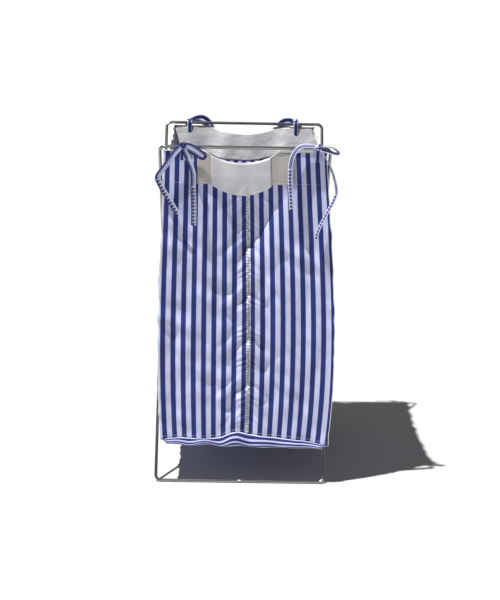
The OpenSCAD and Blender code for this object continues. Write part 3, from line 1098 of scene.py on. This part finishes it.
        self.rest = closed(rest[numbers])
        self.walls = closed(hung[numbers])
        self.outward = self.normals(self.walls)
        self.walls = self.relax(self.sculpt(self.walls, self.rest, self.outward).reshape(-1, 3)
                                ).reshape(self.walls.shape)
        self.shape_rim()
        self.outward = self.normals(self.walls)
        self.floor = refine(hung[floor])
        self.floor_rest = refine(rest[floor])
        rim = np.concatenate([self.walls[-1], self.walls[-1][:1]])[:: self.fine // 2]
        s = [2 * k for k in self.starts]
        old = self.floor.copy()
        self.floor[0, :] = rim[: s[1] + 1]
        self.floor[:, -1] = rim[s[1]: s[2] + 1]
        self.floor[-1, :] = rim[s[2]: s[3] + 1][::-1]
        self.floor[:, 0] = rim[s[3]:][::-1]
        shift = self.floor - old
        for k in range(1, 6):
            fade = (1 - k / 6) ** 1.5
            self.floor[k, k:-k] += shift[0, k:-k] * fade
            self.floor[-1 - k, k:-k] += shift[-1, k:-k] * fade
            self.floor[k:-k, k] += shift[k:-k, 0] * fade
            self.floor[k:-k, -1 - k] += shift[k:-k, -1] * fade
        self.drop_floor()

    @staticmethod
    def normals(grid: Points) -> Points:
        """Outward directions of the closed wall grid."""
        along = np.roll(grid, -1, axis=1) - np.roll(grid, 1, axis=1)
        down = np.gradient(grid, axis=0)
        return unit(np.cross(down, along))

    def at(self, column: Points, row: Points, off: float = 0.0) -> Points:
        """Points on the walls.

        Args:
            column: Places along the columns, in columns of the wall grid.
            row: Places down the rows, in rows of the wall grid.
            off: How far outwards they stand, in metres.

        Returns:
            The points.
        """
        rows, columns = self.walls.shape[:2]
        column, row = np.broadcast_arrays(np.asarray(column, float), np.asarray(row, float))
        row = np.clip(row, 0, rows - 1.0001)
        c0, r0 = np.floor(column).astype(int), np.floor(row).astype(int)
        fc, fr = (column - c0)[..., None], (row - r0)[..., None]
        out = np.zeros(column.shape + (3,))
        for dr, wr in ((0, 1 - fr), (1, fr)):
            for dc, wc in ((0, 1 - fc), (1, fc)):
                r, c = r0 + dr, (c0 + dc) % columns
                out += wr * wc * (self.walls[r, c] + off * self.outward[r, c])
        return out

    def top_edge(self, side: Side) -> tuple[Points, Points, Points]:
        """The top edge of the front or back wall, in order of x: its columns, flat x and flat heights."""
        start, stop = self.fine * self.starts[side.value], self.fine * self.starts[side.value + 1]
        span = self.rest[0, start: stop + 1]
        order = np.argsort(span[:, 0])
        return (start + np.arange(len(span)))[order], span[order, 0], span[order, 2]

    def place(self, side: Side, x: Points, z: Points) -> tuple[Points, Points]:
        """The wall grid's column and row for a flat position on the front or back.

        Args:
            side: Front or back.
            x: Flat positions across the object, in metres.
            z: Flat heights, in metres.

        Returns:
            The columns and the rows.
        """
        columns, edge, heights = self.top_edge(side)
        top = np.interp(x, edge, heights)
        row = (top - z) / (top - self.base) * (self.walls.shape[0] - 1)
        return np.interp(x, edge, columns), row

    def sheet_on(self, name: str, column: Points, row: Points, uv: Points, material: Material,
                 off: float, thickness: float, inside: bool = False) -> Object:
        """Makes a cloth piece that follows the walls.

        Args:
            name: The piece's name.
            column: Where its corners lie along the walls, as a grid.
            row: Where they lie down the walls, as a grid.
            uv: Its cloth coordinates in metres.
            material: The finish.
            off: How far outwards its outer face stands, in metres.
            thickness: The cloth's thickness in metres.
            inside: Whether it shows its face to the inside of the sack.

        Returns:
            The piece.
        """
        return sheet_object(name, self.at(column, row, off), uv, material, thickness, not inside)

    def wall_piece(self, name: str, first: int, last: int, across: Callable[[Points], Points],
                   material: Material, step: int = 1) -> Object:
        """Makes a whole panel from a run of the walls' columns.

        Args:
            name: The piece's name.
            first: Its first column.
            last: Its last column.
            across: Gives the cloth coordinate across the stripes from the flat corners.
            material: The finish.
            step: How many of the grid's cells each of its cells spans.

        Returns:
            The panel.
        """
        columns = np.append(np.arange(first, last, step), last)
        column, row = np.meshgrid(columns, np.arange(0, self.walls.shape[0], step))
        flat = self.rest[row, column % self.walls.shape[1]]
        uv = np.stack([across(flat), flat[..., 2]], -1)
        return self.sheet_on(name, column, row, uv, material, 0.0, self.cloth)

    def finish(self, obj: Object, slot: Slot, *nodes: str) -> Object:
        """Puts a finished piece of the sack on the inner frame, to flatten as the stand folds."""
        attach(obj, Body.INNER.value)
        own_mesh(obj)
        if nodes:
            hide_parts(*nodes)
        LOG.info("piece %s: %d faces", obj.name, len(obj.data.polygons))
        return obj

    def panels(self, shop: Workshop) -> None:
        """Cuts the walls and the floor."""
        s = [self.fine * k for k in self.starts]
        seam, _ = self.place(Side.FRONT, self.seam_x, 0.3)
        back, _ = self.place(Side.BACK, 0.0, 0.3)
        seam, back = int(round(float(seam))), int(round(float(back)))
        lost = 3.9 * MM  # the cloth that the seam takes up, which shifts the right half's stripes
        cuts = (("front_left", s[0], seam, 0.0, self.seam_x - self.left),
                ("front_right", seam, s[1], lost, self.right - self.seam_x),
                ("back_right", s[2], back, 0.0, self.right),
                ("back_left", back, s[3], 0.0, -self.left))
        for name, first, last, shift, width in cuts:
            step = 1 if name.startswith("front") else 2
            obj = self.wall_piece(f"{name}_cloth", first, last, lambda p, shift=shift: p[..., 0] + shift,
                                  shop.cotton, step)
            self.finish(obj, Slot.CLOTH, f"{name}_panel")
        for name, first, last in (("right", s[1], s[2]), ("left", s[3], s[4])):
            obj = self.wall_piece(f"{name}_gusset_cloth", first, last, lambda p: p[..., 1], shop.gusset, 2)
            self.finish(obj, Slot.CLOTH, f"{name}_gusset")
        uv = np.stack([self.floor_rest[..., 1], self.floor_rest[..., 0]], -1)
        obj = sheet_object("bottom_cloth", self.floor, uv, shop.base, self.cloth)
        self.finish(obj, Slot.CLOTH, "bottom_panel")

    def strip(self, name: str, side: Side, x0: float, x1: float, low: Callable[[Points], Points],
              material: Material, off: float, thickness: float, step: float = 3.0 * MM) -> Object:
        """Makes a sewn-on strip of the front or back wall.

        Args:
            name: The piece's name.
            side: Front or back.
            x0: Its left edge.
            x1: Its right edge.
            low: Gives the height of its lower edge at each x.
            material: The finish.
            off: How far outwards its outer face stands.
            thickness: The cloth's thickness.
            step: The grid's cell.

        Returns:
            The strip.
        """
        xs = np.linspace(x0, x1, max(3, int(round((x1 - x0) / step)) + 1))
        if side is Side.BACK:
            xs = xs[::-1]
        _, edge, heights = self.top_edge(side)
        top, end = np.interp(xs, edge, heights), low(xs)
        count = max(3, int(round(float(np.max(top - end)) / step)) + 1)
        v = np.linspace(0, 1, count)[:, None]
        z = top * (1 - v) + end * v
        x = np.broadcast_to(xs, z.shape)
        column, row = self.place(side, x, z)
        return self.sheet_on(name, column, row, np.stack([x, z], -1), material, off, thickness)

    @staticmethod
    def band_low(x: Points) -> Points:
        """The flat height of the band's curved lower edge."""
        return 0.5535 + 0.0185 * (x / 0.058) ** 2

    def facings(self, shop: Workshop) -> None:
        """Lines the mouth, and sews the band and the tabs over the front scoop."""
        s = [self.fine * k for k in self.starts]
        rows = self.walls.shape[0] - 1
        depth = self.facing_depth / (self.mouth - self.base) * rows
        gap = self.cloth + 0.35 * MM
        for side in Side:
            name = side.name.lower()
            first, last = s[side.value] + 2, s[side.value + 1] - 2
            column, row = np.meshgrid(np.arange(first, last + 1, 2), np.linspace(0, depth, 20))
            drop = row / rows * (self.mouth - self.base)
            along = (column - first) * self.cell / self.fine
            uv = np.stack([along, drop], -1)
            # The left and right facings take the darker copy of the silver facing, which paints shade onto
            # them.
            material = shop.facing if side in (Side.FRONT, Side.BACK) else shop.side_facing_painted_shade
            obj = self.sheet_on(f"{name}_facing_cloth", column, row, uv, material, -gap, 0.5 * MM, True)
            self.finish(obj, Slot.FACING, f"{name}_facing")
        for name, x0, x1 in (("front_left_tab", -0.0865, -0.0560), ("front_right_tab", 0.0560, 0.1030)):
            obj = self.strip(f"{name}_cloth", Side.FRONT, x0, x1, lambda x: self.tab_low + 0 * x, shop.canvas,
                             0.9 * MM, 0.6 * MM)
            self.finish(obj, Slot.FACING, name)
        obj = self.strip("front_band_cloth", Side.FRONT, -0.0595, 0.0565, self.band_low, shop.band,
                         1.6 * MM, 0.6 * MM)
        self.finish(obj, Slot.FACING, "front_band")

    def seams(self, shop: Workshop) -> None:
        """Lays the felled seams down the middle of the front and back."""
        half = 4.7 * MM
        for name, side, x in (("front_seam", Side.FRONT, self.seam_x), ("back_seam", Side.BACK, 0.0)):
            obj = self.strip(f"{name}_cloth", side, x - half, x + half,
                             lambda xs: self.base + 3 * MM + 0 * xs, shop.felled, 0.8 * MM, 0.7 * MM,
                             step=1.4 * MM)
            layer = obj.data.uv_layers["weave"]
            for item in layer.data:
                item.uv[0] -= x
            self.finish(obj, Slot.CLOTH, name)

    def line_on(self, side: Side, x: Points, z: Points, off: float) -> Points:
        """A line of points that lies on the front or back wall."""
        column, row = self.place(side, np.asarray(x, float), np.asarray(z, float))
        return self.at(column, row, off)

    def zigzag_on(self, side: Side, x: float, reach: float, heights: Points, off: float) -> Points:
        """A zigzag of thread that climbs the front or back wall.

        Args:
            side: Front or back.
            x: Its middle, in metres.
            reach: How far it swings to each side.
            heights: The flat height of each turn.
            off: How far outwards it lies.

        Returns:
            The line's points.
        """
        swing = np.where(np.arange(len(heights)) % 2, 1.0, -1.0)
        return self.line_on(side, x + reach * swing, heights, off)

    def row_on(self, x0: float, x1: float, height: float, off: float) -> Points:
        """A level line of points across the front, from one x to another."""
        xs = np.linspace(x0, x1, 60)
        return self.line_on(Side.FRONT, xs, height + 0 * xs, off)

    def stitches(self, shop: Workshop) -> None:
        """Sews the seams, the facings and the hems."""
        low, step, seam_top, back_top, proud = self.base + 8 * MM, 1.5 * MM, 0.552, 0.560, 1.15 * MM
        up = np.arange(low, seam_top, step)
        front = self.zigzag_on(Side.FRONT, self.seam_x + 0.6 * MM, 2.7 * MM, up, proud)
        back = self.zigzag_on(Side.BACK, 0.0, 2.3 * MM, np.arange(low, back_top, step), proud)
        self.finish(shop.line.lay("seam_stitches", [front, back], shop.thread, 0.34 * MM), Slot.CLOTH)
        across = self.seam_x + np.linspace(-2.6, 3.6, 5) * MM
        bars = [self.line_on(Side.FRONT, across, height + 0 * across, 0.95 * MM)
                for height in np.arange(low + 1 * MM, seam_top, 5.4 * MM)]
        self.finish(shop.line.lay("seam_bars", bars, shop.navy, 0.48 * MM), Slot.CLOTH)
        tab = self.zigzag_on(Side.FRONT, 0.0995, 1.6 * MM, np.arange(0.576, 0.628, 1.3 * MM), 1.4 * MM)
        self.finish(shop.line.lay("tab_stitches", [tab], shop.thread, 0.3 * MM), Slot.FACING)
        rows = self.walls.shape[0] - 1
        around = np.arange(self.walls.shape[1] + 1)
        facing_row = self.facing_depth / (self.mouth - self.base) * rows * 0.985
        s = [self.fine * k for k in self.starts]
        flush, hem_share, facing_line, tab_line = 0.25 * MM, 0.0095, 0.5765, 0.577
        lines = [self.at(around, rows * (1 - hem_share) * np.ones(len(around)), flush)]
        lines += [self.row_on(x0, x1, facing_line, flush)
                  for x0, x1 in ((self.left + 0.022, -0.088), (0.105, self.right - 0.008))]
        for a, b in zip(s[1:4], s[2:]):
            span = np.linspace(a + 2, b - 2, 120)
            lines.append(self.at(span, facing_row + 0 * span, flush))
        lines += [self.row_on(x0, x1, tab_line, 1.1 * MM) for x0, x1 in ((-0.085, -0.061), (0.058, 0.101))]
        xs = np.linspace(-0.057, 0.054, 60)
        lines.append(self.line_on(Side.FRONT, xs, self.band_low(xs) + 2 * MM, 1.8 * MM))
        self.finish(shop.dashes.lay("hem_stitches", lines, shop.thread, 0.2 * MM, 2.6 * MM, 0.95 * MM),
                    Slot.CLOTH)

    def hems(self, shop: Workshop) -> None:
        """Rolls the mouth's edge, and binds the four upright edges and the bottom edge."""
        around = np.arange(self.walls.shape[1])
        rim = self.at(around, np.zeros(len(around)), 0.35 * MM)
        rim[:, 2] += 0.4 * MM
        self.finish(shop.line.lay("mouth_hem", [rim], shop.hem, 1.05 * MM, closed=True), Slot.FACING)
        rows = np.arange(self.walls.shape[0])
        corners = [self.at(self.fine * k + 0 * rows, rows, -0.2 * MM) for k in self.starts[:4]]
        self.finish(shop.line.lay("upright_edges", corners, shop.hem, 0.75 * MM), Slot.CLOTH)
        low = self.at(around, (self.walls.shape[0] - 1.1) + 0.0 * around, 0.1 * MM)
        self.finish(shop.line.lay("bottom_edge", [low], shop.navy, 0.45 * MM, closed=True), Slot.CLOTH)

    def drop_floor(self) -> None:
        """Lets the bottom cloth hang below the front and back hems before it turns under."""
        deep, wide = self.floor.shape[:2]
        held = np.clip(np.minimum(np.arange(wide), np.arange(wide)[::-1]) / 2.5, 0, 1)
        turned, blended = 7, 9  # the rows that roll over, and the rows that ease back into the floor
        end = turned + blended + 1
        for rim_row, order in ((0, range(1, end)), (deep - 1, range(deep - 2, deep - 1 - end, -1))):
            rim = self.floor[rim_row]
            x = rim[:, 0]
            low = 0.0765 - 0.004 * np.clip((x + 0.08) / 0.16, 0, 1)
            low = low + 0.0012 * hills(x, 31 + rim_row, 3, 0.03, 0.08)
            drop = np.maximum(rim[:, 2] - low, 1.5 * MM)
            out = -1.0 if rim_row == 0 else 1.0
            side = np.clip(np.minimum(x - self.left, self.right - x) / 0.02, 0, 1)
            for k, row in enumerate(order, start=1):
                t = min(k / turned, 1.0)
                wave = 2.6 * MM * np.sin(np.pi * t) * hills(x, 33 + rim_row, 4, 0.030, 0.075) * side
                y = rim[:, 1] + out * (3.4 * MM * np.sin(np.pi * min(0.85 * t, 1)) * side + 0.5 * wave)
                z = rim[:, 2] - drop * np.sin(np.pi * t / 2) + wave
                w = float(np.clip((k - turned) / blended, 0, 1))
                w = w * w * (3 - 2 * w)
                inward = max(k - turned, 0) * self.cell / 2
                here = self.floor[row]
                here[:, 1] += held * (1 - w) * (y - out * inward - here[:, 1])
                here[:, 2] += held * (z * (1 - w) + np.minimum(here[:, 2], z + 2 * MM) * w - here[:, 2])

    def shape_rim(self) -> None:
        """Gives the front's bottom hem its wave, fading out up the wall."""
        rim = self.walls[-1]
        front = np.clip((self.front_y + 1.5 * self.cell - self.rest[-1, :, 1]) / self.cell, 0, 1)
        at = (-0.160, -0.149, -0.110, -0.060, -0.038, -0.020, -0.005, 0.012, 0.040, 0.113, 0.164, 0.180)
        to = (0.086, 0.086, 0.090, 0.0875, 0.091, 0.100, 0.103, 0.099, 0.095, 0.087, 0.078, 0.077)
        others = 0.082 + 0.002 * hills(rim[:, 1], 35, 3, 0.05, 0.1)
        goal = np.interp(rim[:, 0], at, to) * front + (1 - front) * others
        lift = goal - rim[:, 2]
        rows = self.walls.shape[0]
        fade = np.linspace(0, 1, rows)[:, None] ** 3
        self.walls[..., 2] += lift[None, :] * fade

    def build(self, shop: Workshop) -> None:
        """Hangs the sack, then cuts and sews every piece of it.

        Args:
            shop: The finishes and threads.
        """
        obj, numbers, floor = self.cut()
        rest = np.array([v.co for v in obj.data.vertices])
        start = self.relax(self.hung_start(rest, numbers, floor))
        pattern = start.copy()
        walls = numbers.ravel()
        pattern[walls, 0] *= 1 + self.slack
        pattern[walls, 1] *= 1 + self.slack
        pattern[walls, 2] = self.mouth - (self.mouth - pattern[walls, 2]) * (1 + self.slack_down)
        pattern[floor[1:-1, 1:-1].ravel(), 2] = pattern[numbers[-1, 0], 2]
        hung = self.relax(self.hang(obj, self.pinned(numbers), start, pattern))
        self.lay_out(hung, rest, numbers, floor)
        self.panels(shop)
        self.facings(shop)
        self.seams(shop)
        self.stitches(shop)
        self.hems(shop)


# ------------------------------------------------------------------ the ties


class Bend(Enum):
    """Which way a tape's flat side faces along its route."""

    FLAT = 0.0
    HALF = 52.0
    EDGE = 82.0


class TapeCut(Enum):
    """How the stripes run along a tape."""

    HALVES = "tape"
    CENTRED = "ribbon"


@dataclass(frozen=True)
class Run:
    """One stretch of tape from a knot, in millimetres from the knot.

    Each point is its distance along the bar, away from the sack, and up.
    """

    part: str
    route: tuple[tuple[float, float, float], ...]
    bend: Bend = Bend.FLAT
    bars: bool = False
    curl: float = 0.0
    turned: bool = False


@dataclass
class Tie:
    """A tape tied round a top bar: its wrap, its knot and the runs that leave the knot."""

    name: str
    body: Body
    runs: tuple[Run, ...]
    cut: TapeCut = TapeCut.CENTRED
    width: float = 9.6 * MM
    thickness: float = 0.9 * MM
    seed: int = 1

    def __post_init__(self) -> None:
        """Finds the knot and the bar from the CAD nodes."""
        low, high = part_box(f"{self.name}_knot")
        self.centre = (np.array(low) + np.array(high)) / 2
        self.size = float(np.max(np.array(high) - np.array(low)))
        self.out = -1.0 if self.centre[1] < 0 else 1.0
        low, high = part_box(f"{self.name}_wrap")
        self.strap = (np.array(low), np.array(high))

    def tape(self, name: str, path: Points, across: Points, shop: Workshop, clear: Callable[[Points], Points],
             turned: bool = False) -> Object:
        """Makes a flat tape along a path.

        Args:
            name: The piece's name.
            path: Its middle line.
            across: The direction of its width at each point.
            shop: The finishes.
            clear: Keeps points clear of the sack.
            turned: Whether its stripes are the other way round.

        Returns:
            The tape.
        """
        share = np.linspace(-1, 1, 7)
        tangent = unit(np.gradient(path, axis=0))
        normal = unit(np.cross(tangent, across))
        crown = 0.5 * MM * (1 - share**2)
        grid = path[:, None, :] + across[:, None, :] * (share * self.width / 2)[None, :, None]
        grid = grid + normal[:, None, :] * crown[None, :, None]
        grid = clear(grid)
        run = np.concatenate([[0], np.cumsum(np.linalg.norm(np.diff(path, axis=0), axis=1))])
        place = (1 - share if turned else 1 + share) * self.width / 2
        uv = np.stack([np.broadcast_to(place, grid.shape[:2]),
                       np.broadcast_to(run[:, None], grid.shape[:2])], -1)
        facing = np.cross(np.diff(grid[:-1], axis=1), np.diff(grid[:, :-1], axis=0))
        away = grid[:-1, :-1] - self.centre
        away = away * np.array([0, 1, 1]) if name.endswith("wrap_cloth") else np.array([0.0, self.out, 0.15])
        flip = float(np.sum(facing * away)) < 0
        obj = sheet_object(name, grid, uv, getattr(shop, self.cut.value), self.thickness, flip)
        self.grid = grid
        return obj

    def run(self, run: Run, shop: Workshop, clear: Callable[[Points], Points]) -> tuple[Object, tuple]:
        """Makes one run of tape and the lines of its stitches."""
        steps = np.array(run.route, float) * MM
        path = self.centre + steps * np.array([1.0, self.out, 1.0])
        path = smooth_path(path, 1.6 * MM)
        tangent = unit(np.gradient(path, axis=0))
        face = np.array([0.0, self.out, 0.0])
        flat = unit(np.cross(tangent, face))
        share = np.linspace(0, 1, len(path))[:, None]
        sway = run.curl * np.sin(np.pi * (share * 2.2 + 0.15 * self.seed))
        angle = np.radians(run.bend.value * (1 - 0.35 * share) + sway)
        normal = unit(np.cross(tangent, flat))
        across = flat * np.cos(angle) + normal * np.sin(angle)
        obj = self.tape(f"{self.name}_{run.part}_cloth", path, across, shop, clear, run.turned)
        if not run.bars:
            return obj, (self.zigzag(self.grid), [])
        half = len(self.grid) // 2
        white = self.zigzag(self.grid[: half + 2]) + self.ladder(self.grid, half, 0)
        return obj, (white, self.ladder(self.grid, half, 2))

    def lifted(self, grid: Points, line: Points, rows: Points) -> Points:
        """Raises a line of thread from a tape's middle onto its outer face.

        Args:
            grid: The tape's grid.
            line: The line's points.
            rows: The row of the grid that each point lies by.

        Returns:
            The raised line.
        """
        along = unit(np.gradient(grid[:, 3], axis=0))[rows]
        normal = unit(np.cross(along, unit(grid[rows, 6] - grid[rows, 0])))
        normal *= np.sign(np.sum(normal * np.array([0, self.out, 0.2]), axis=1, keepdims=True))
        return line + normal * 0.45 * MM

    def zigzag(self, grid: Points) -> list[Points]:
        """A zigzag line of stitches along the middle of a tape's outer face."""
        count = int(len(grid) * 1.6 / 1.7)
        at = np.linspace(0, len(grid) - 1.001, count)
        low = np.floor(at).astype(int)
        mix = (at - low)[:, None]
        col = 3.0 + 0.9 * np.where(np.arange(count) % 2, 1.0, -1.0)
        c0 = np.floor(col).astype(int)
        fc = (col - c0)[:, None]
        point = lambda r: grid[r, c0] * (1 - fc) + grid[r, c0 + 1] * fc
        return [self.lifted(grid, point(low) * (1 - mix) + point(low + 1) * mix, low)]

    def ladder(self, grid: Points, first: int, skip: int) -> list[Points]:
        """Bars of thread across a tape's outer face, from a row of its grid to its end."""
        rows = np.arange(first + skip, len(grid) - 1, 4)
        return [self.lifted(grid, grid[row, 1:6], np.full(5, row)) for row in rows]

    def knot(self, shop: Workshop) -> Object:
        """Makes the tied knot, a tape that passes over and under itself."""
        count, ring = 120, 14
        t = np.linspace(0, 2 * np.pi, count, endpoint=False)
        rng = np.random.default_rng(self.seed)
        tilt = rng.uniform(-0.5, 0.5, 3)
        path = np.stack([np.sin(t) + 1.55 * np.sin(2 * t), 0.95 * -np.sin(3 * t),
                         np.cos(t) - 1.55 * np.cos(2 * t)], 1)
        about_x, about_y, about_z = (Matrix.Rotation(a, 3, axis) for a, axis in zip(tilt, "XYZ"))
        path = path @ np.array(about_x @ about_y @ about_z).T
        radius = self.size / 2
        path = path / np.abs(path).max() * (radius - 2.3 * MM)
        tangent = unit(np.roll(path, -1, 0) - np.roll(path, 1, 0))
        outward = unit(path + tangent * 1e-4)
        normal = unit(outward - tangent * np.sum(outward * tangent, axis=1, keepdims=True))
        across = np.cross(tangent, normal)
        a = np.linspace(0, 2 * np.pi, ring, endpoint=False)
        crease = 1 + 0.10 * np.sin(5 * t)[:, None] * np.cos(2 * a)[None, :]
        grid = (path[:, None] + across[:, None] * (3.3 * MM * np.cos(a)[None, :] * crease)[..., None]
                + normal[:, None] * (1.75 * MM * np.sin(a)[None, :] * crease)[..., None])
        grid = np.concatenate([grid, grid[:1]], 0)
        grid = np.concatenate([grid, grid[:, :1]], 1)
        uv = np.stack([np.broadcast_to(np.linspace(-3.2, 10.5, ring + 1) * MM, grid.shape[:2]),
                       np.broadcast_to(np.linspace(0, 0.06, count + 1)[:, None], grid.shape[:2])], -1)
        obj = new_object(f"{self.name}_knot_cloth", grid + self.centre, grid_faces(count + 1, ring + 1),
                         getattr(shop, self.cut.value))
        set_uv(obj, uv)
        modifier = obj.modifiers.new("join", "WELD")
        modifier.merge_threshold = 1e-6
        return apply_modifiers(obj)

    def wrap(self, shop: Workshop) -> Object:
        """Makes the strap that goes up from the hem, over the bar and down inside."""
        low, high = self.strap
        y = (low[1] + high[1]) / 2
        radius = (high[1] - low[1]) / 2 - self.thickness / 2
        top = high[2] - radius - self.thickness / 2
        a = np.linspace(0, np.pi, 14)
        arch = np.stack([radius * np.cos(a), top + radius * np.sin(a)], 1)
        down = np.linspace(top, low[2] + 1 * MM, 9)[1:]
        side = np.concatenate([np.stack([radius * np.ones(8), down[::-1]], 1), arch,
                               np.stack([-radius * np.ones(8), down], 1)])
        path = np.stack([np.full(len(side), self.centre[0]), y + side[:, 0] * self.out, side[:, 1]], 1)
        across = np.tile([1.0, 0.0, 0.0], (len(path), 1))
        return self.tape(f"{self.name}_wrap_cloth", path, across, shop, lambda p: p)

    def build(self, shop: Workshop, clear: Callable[[Points], Points]) -> None:
        """Builds the whole tie.

        Args:
            shop: The finishes and threads.
            clear: Keeps points clear of the sack.
        """
        pieces = [(self.wrap(shop), "wrap"), (self.knot(shop), "knot")]
        lines, dark = [], []
        for run in self.runs:
            obj, marks = self.run(run, shop, clear)
            pieces.append((obj, run.part))
            lines += marks[0]
            dark += marks[1]
        stitches = shop.line.lay(f"{self.name}_tie_stitches", lines, shop.thread, 0.42 * MM)
        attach(stitches, self.body.value)
        if dark:
            stitches = shop.line.lay(f"{self.name}_tie_bars", dark, shop.navy, 0.75 * MM)
            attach(stitches, self.body.value)
        for obj, part in pieces:
            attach(obj, self.body.value)
            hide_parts(f"{self.name}_{part}")
            LOG.info("piece %s: %d faces", obj.name, len(obj.data.polygons))


FRONT_LEFT = (
    Run("bow", ((4, 0, 0), (16, 1, -3), (30, 2, -12), (38, 2, -19), (33, 1, -21), (20, 0, -13), (5, 0, -4)),
        Bend.FLAT),
    Run("tail", ((-4, 0, -2), (-16, 1, -16), (-30, 2, -36), (-42, 2, -52), (-45, 2, -60),
                 (-41, 2, -70), (-30, 2, -90), (-14, 2, -116), (-8, 2, -126)),
        bars=True, curl=8, turned=True),
    Run("end", ((1, 0, -6), (7, 1, -20), (15, 2, -38), (19, 2, -54), (19, 2, -80), (20, 2, -110),
                (20, 2, -145)), bars=True, curl=10, turned=True),
)
FRONT_RIGHT = (
    Run("bow", ((4, 0, 1), (14, 0, 1), (26, 0, -1), (35, 0, -7), (36, 0, -11), (28, 0, -10), (16, 0, -6),
                (5, 0, -3)), Bend.EDGE),
    Run("tail", ((2, 0, -4), (10, 1, -14), (20, 2, -30), (29, 2, -52), (34, 2, -74), (34, 2, -84),
                 (28, 2, -100), (16, 2, -124), (4, 2, -150), (1, 2, -166)), Bend.EDGE, True, 8),
    Run("end", ((-4, 0, 1), (-16, 1, 3), (-28, 1, 2), (-39, 2, -5), (-46, 2, -18), (-49, 2, -34),
                (-49, 2, -60), (-47, 2, -90), (-45, 2, -114)), Bend.HALF, True, 10),
)
BACK_LEFT = (
    Run("bow", ((4, 0, 1), (14, 0, 6), (26, 1, 7), (38, 2, 0), (46, 2, -14), (40, 1, -14), (26, 1, -4),
                (5, 0, -3))),
    Run("tail", ((-2, 0, -4), (-8, 1, -16), (-14, 2, -36), (-14, 3, -60), (-10, 3, -84), (-10, 3, -104)),
        curl=12),
)
BACK_RIGHT = (
    Run("bow", ((-4, 0, 1), (-14, 0, 4), (-26, 0, 2), (-34, 0, -5), (-30, 0, -9), (-18, 0, -6), (-5, 0, -3)),
        Bend.FLAT),
    Run("tail", ((3, 0, -3), (12, 1, -12), (24, 2, -18), (38, 2, -28), (46, 2, -46), (47, 2, -70),
                 (45, 2, -92)), Bend.HALF, curl=10),
)


# ------------------------------------------------------------------ studio


@dataclass
class Studio:
    """The floor, the light and the camera."""

    place: tuple[float, float, float] = (-0.0155, -2.5127, 0.9534)
    yaw: float = 0.01249
    pitch: float = 0.24978
    roll: float = 0.01895
    lens: float = 78.2
    sun_travel: tuple[float, float, float] = (0.378, 0.178, -1.0)
    sun_power: float = 6.2
    sky_power: float = 0.16

    def camera(self) -> None:
        """Places the camera."""
        ahead, aside = math.cos(self.yaw), math.sin(self.yaw)
        forward = Vector((aside * math.cos(self.pitch), ahead * math.cos(self.pitch), -math.sin(self.pitch)))
        right = Vector((ahead, -aside, 0.0))
        up = right.cross(forward)
        across = math.cos(self.roll) * right + math.sin(self.roll) * up
        above = -math.sin(self.roll) * right + math.cos(self.roll) * up
        data = bpy.data.cameras.new("camera")
        data.lens = self.lens
        data.sensor_width = 36.0
        data.clip_end = 400.0
        obj = bpy.data.objects.new("camera", data)
        turn = Matrix((across, above, -forward)).transposed().to_4x4()
        obj.matrix_world = Matrix.Translation(self.place) @ turn
        bpy.context.scene.collection.objects.link(obj)
        bpy.context.scene.camera = obj

    def light(self) -> None:
        """Adds the sun and the pale sky."""
        data = bpy.data.lights.new("sun", "SUN")
        data.energy = self.sun_power
        data.angle = math.radians(0.9)
        data.color = (1.0, 0.99, 0.975)
        obj = bpy.data.objects.new("sun", data)
        obj.rotation_euler = Vector(self.sun_travel).to_track_quat("-Z", "Y").to_euler()
        bpy.context.scene.collection.objects.link(obj)
        world = bpy.data.worlds.new("pale sky")
        world.use_nodes = True
        sky = world.node_tree.nodes["Background"]
        sky.inputs[0].default_value = (1.0, 0.99, 0.97, 1.0)
        sky.inputs[1].default_value = self.sky_power
        bpy.context.scene.world = world

    def floor(self) -> None:
        """Lays the floor."""
        half = 120.0
        corners = [(-half, -half, 0), (half, -half, 0), (half, half, 0), (-half, half, 0)]
        obj = new_object("floor", corners, [(0, 1, 2, 3)], Paper().material())

    def build(self) -> None:
        """Sets up the studio."""
        bpy.context.scene.view_settings.view_transform = "Standard"
        self.camera()
        self.light()
        self.floor()


class Clearance:
    """Keeps tie tapes on the outside of the hung cloth."""

    def __init__(self, sack: Sack, gap: float = 1.3 * MM) -> None:
        """Builds the surface to stay clear of.

        Args:
            sack: The hung sack.
            gap: How far off the cloth a tape lies.
        """
        rows, columns = sack.walls.shape[:2]
        faces = [(r * columns + c, r * columns + (c + 1) % columns, (r + 1) * columns + (c + 1) % columns,
                  (r + 1) * columns + c) for r in range(rows - 1) for c in range(columns)]
        self.tree = BVHTree.FromPolygons(sack.walls.reshape(-1, 3).tolist(), faces)
        self.gap = gap

    def outside(self, out: float) -> Callable[[Points], Points]:
        """A function that lifts points off the front (out is -1) or the back (out is 1)."""

        def lift(points: Points) -> Points:
            lifted = points.copy()
            flat = lifted.reshape(-1, 3)
            for p in flat:
                hit = self.tree.ray_cast(Vector((p[0], 0.4 * out, p[2])), Vector((0, -out, 0)))[0]
                if hit is not None and hit[1] * out > 0.1:
                    p[1] = out * max(p[1] * out, hit[1] * out + self.gap)
            grid = flat.reshape(points.shape)
            y = grid[..., 1].copy()
            for _ in range(3):
                y[1:-1] = out * np.maximum(out * y[1:-1], out * (y[:-2] + y[1:-1] + y[2:]) / 3)
            grid[..., 1] = y
            return grid

        return lift


def main() -> None:
    """Builds the whole scene in order."""
    Studio().build()
    shop = Workshop()
    LOG.info("dressing the stand")
    Stand().build(shop)
    LOG.info("hanging the sack")
    sack = Sack()
    sack.build(shop)
    clear = Clearance(sack)
    for seed, (name, body, runs) in enumerate((("front_left", Body.INNER, FRONT_LEFT),
                                               ("front_right", Body.INNER, FRONT_RIGHT),
                                               ("back_left", Body.OUTER, BACK_LEFT),
                                               ("back_right", Body.OUTER, BACK_RIGHT)), start=3):
        cut = TapeCut.HALVES if name == "front_left" else TapeCut.CENTRED
        tie = Tie(name, body, runs, cut, seed=seed)
        LOG.info("tying %s", name)
        tie.build(shop, clear.outside(tie.out))


if __name__ == "__main__":
    main()
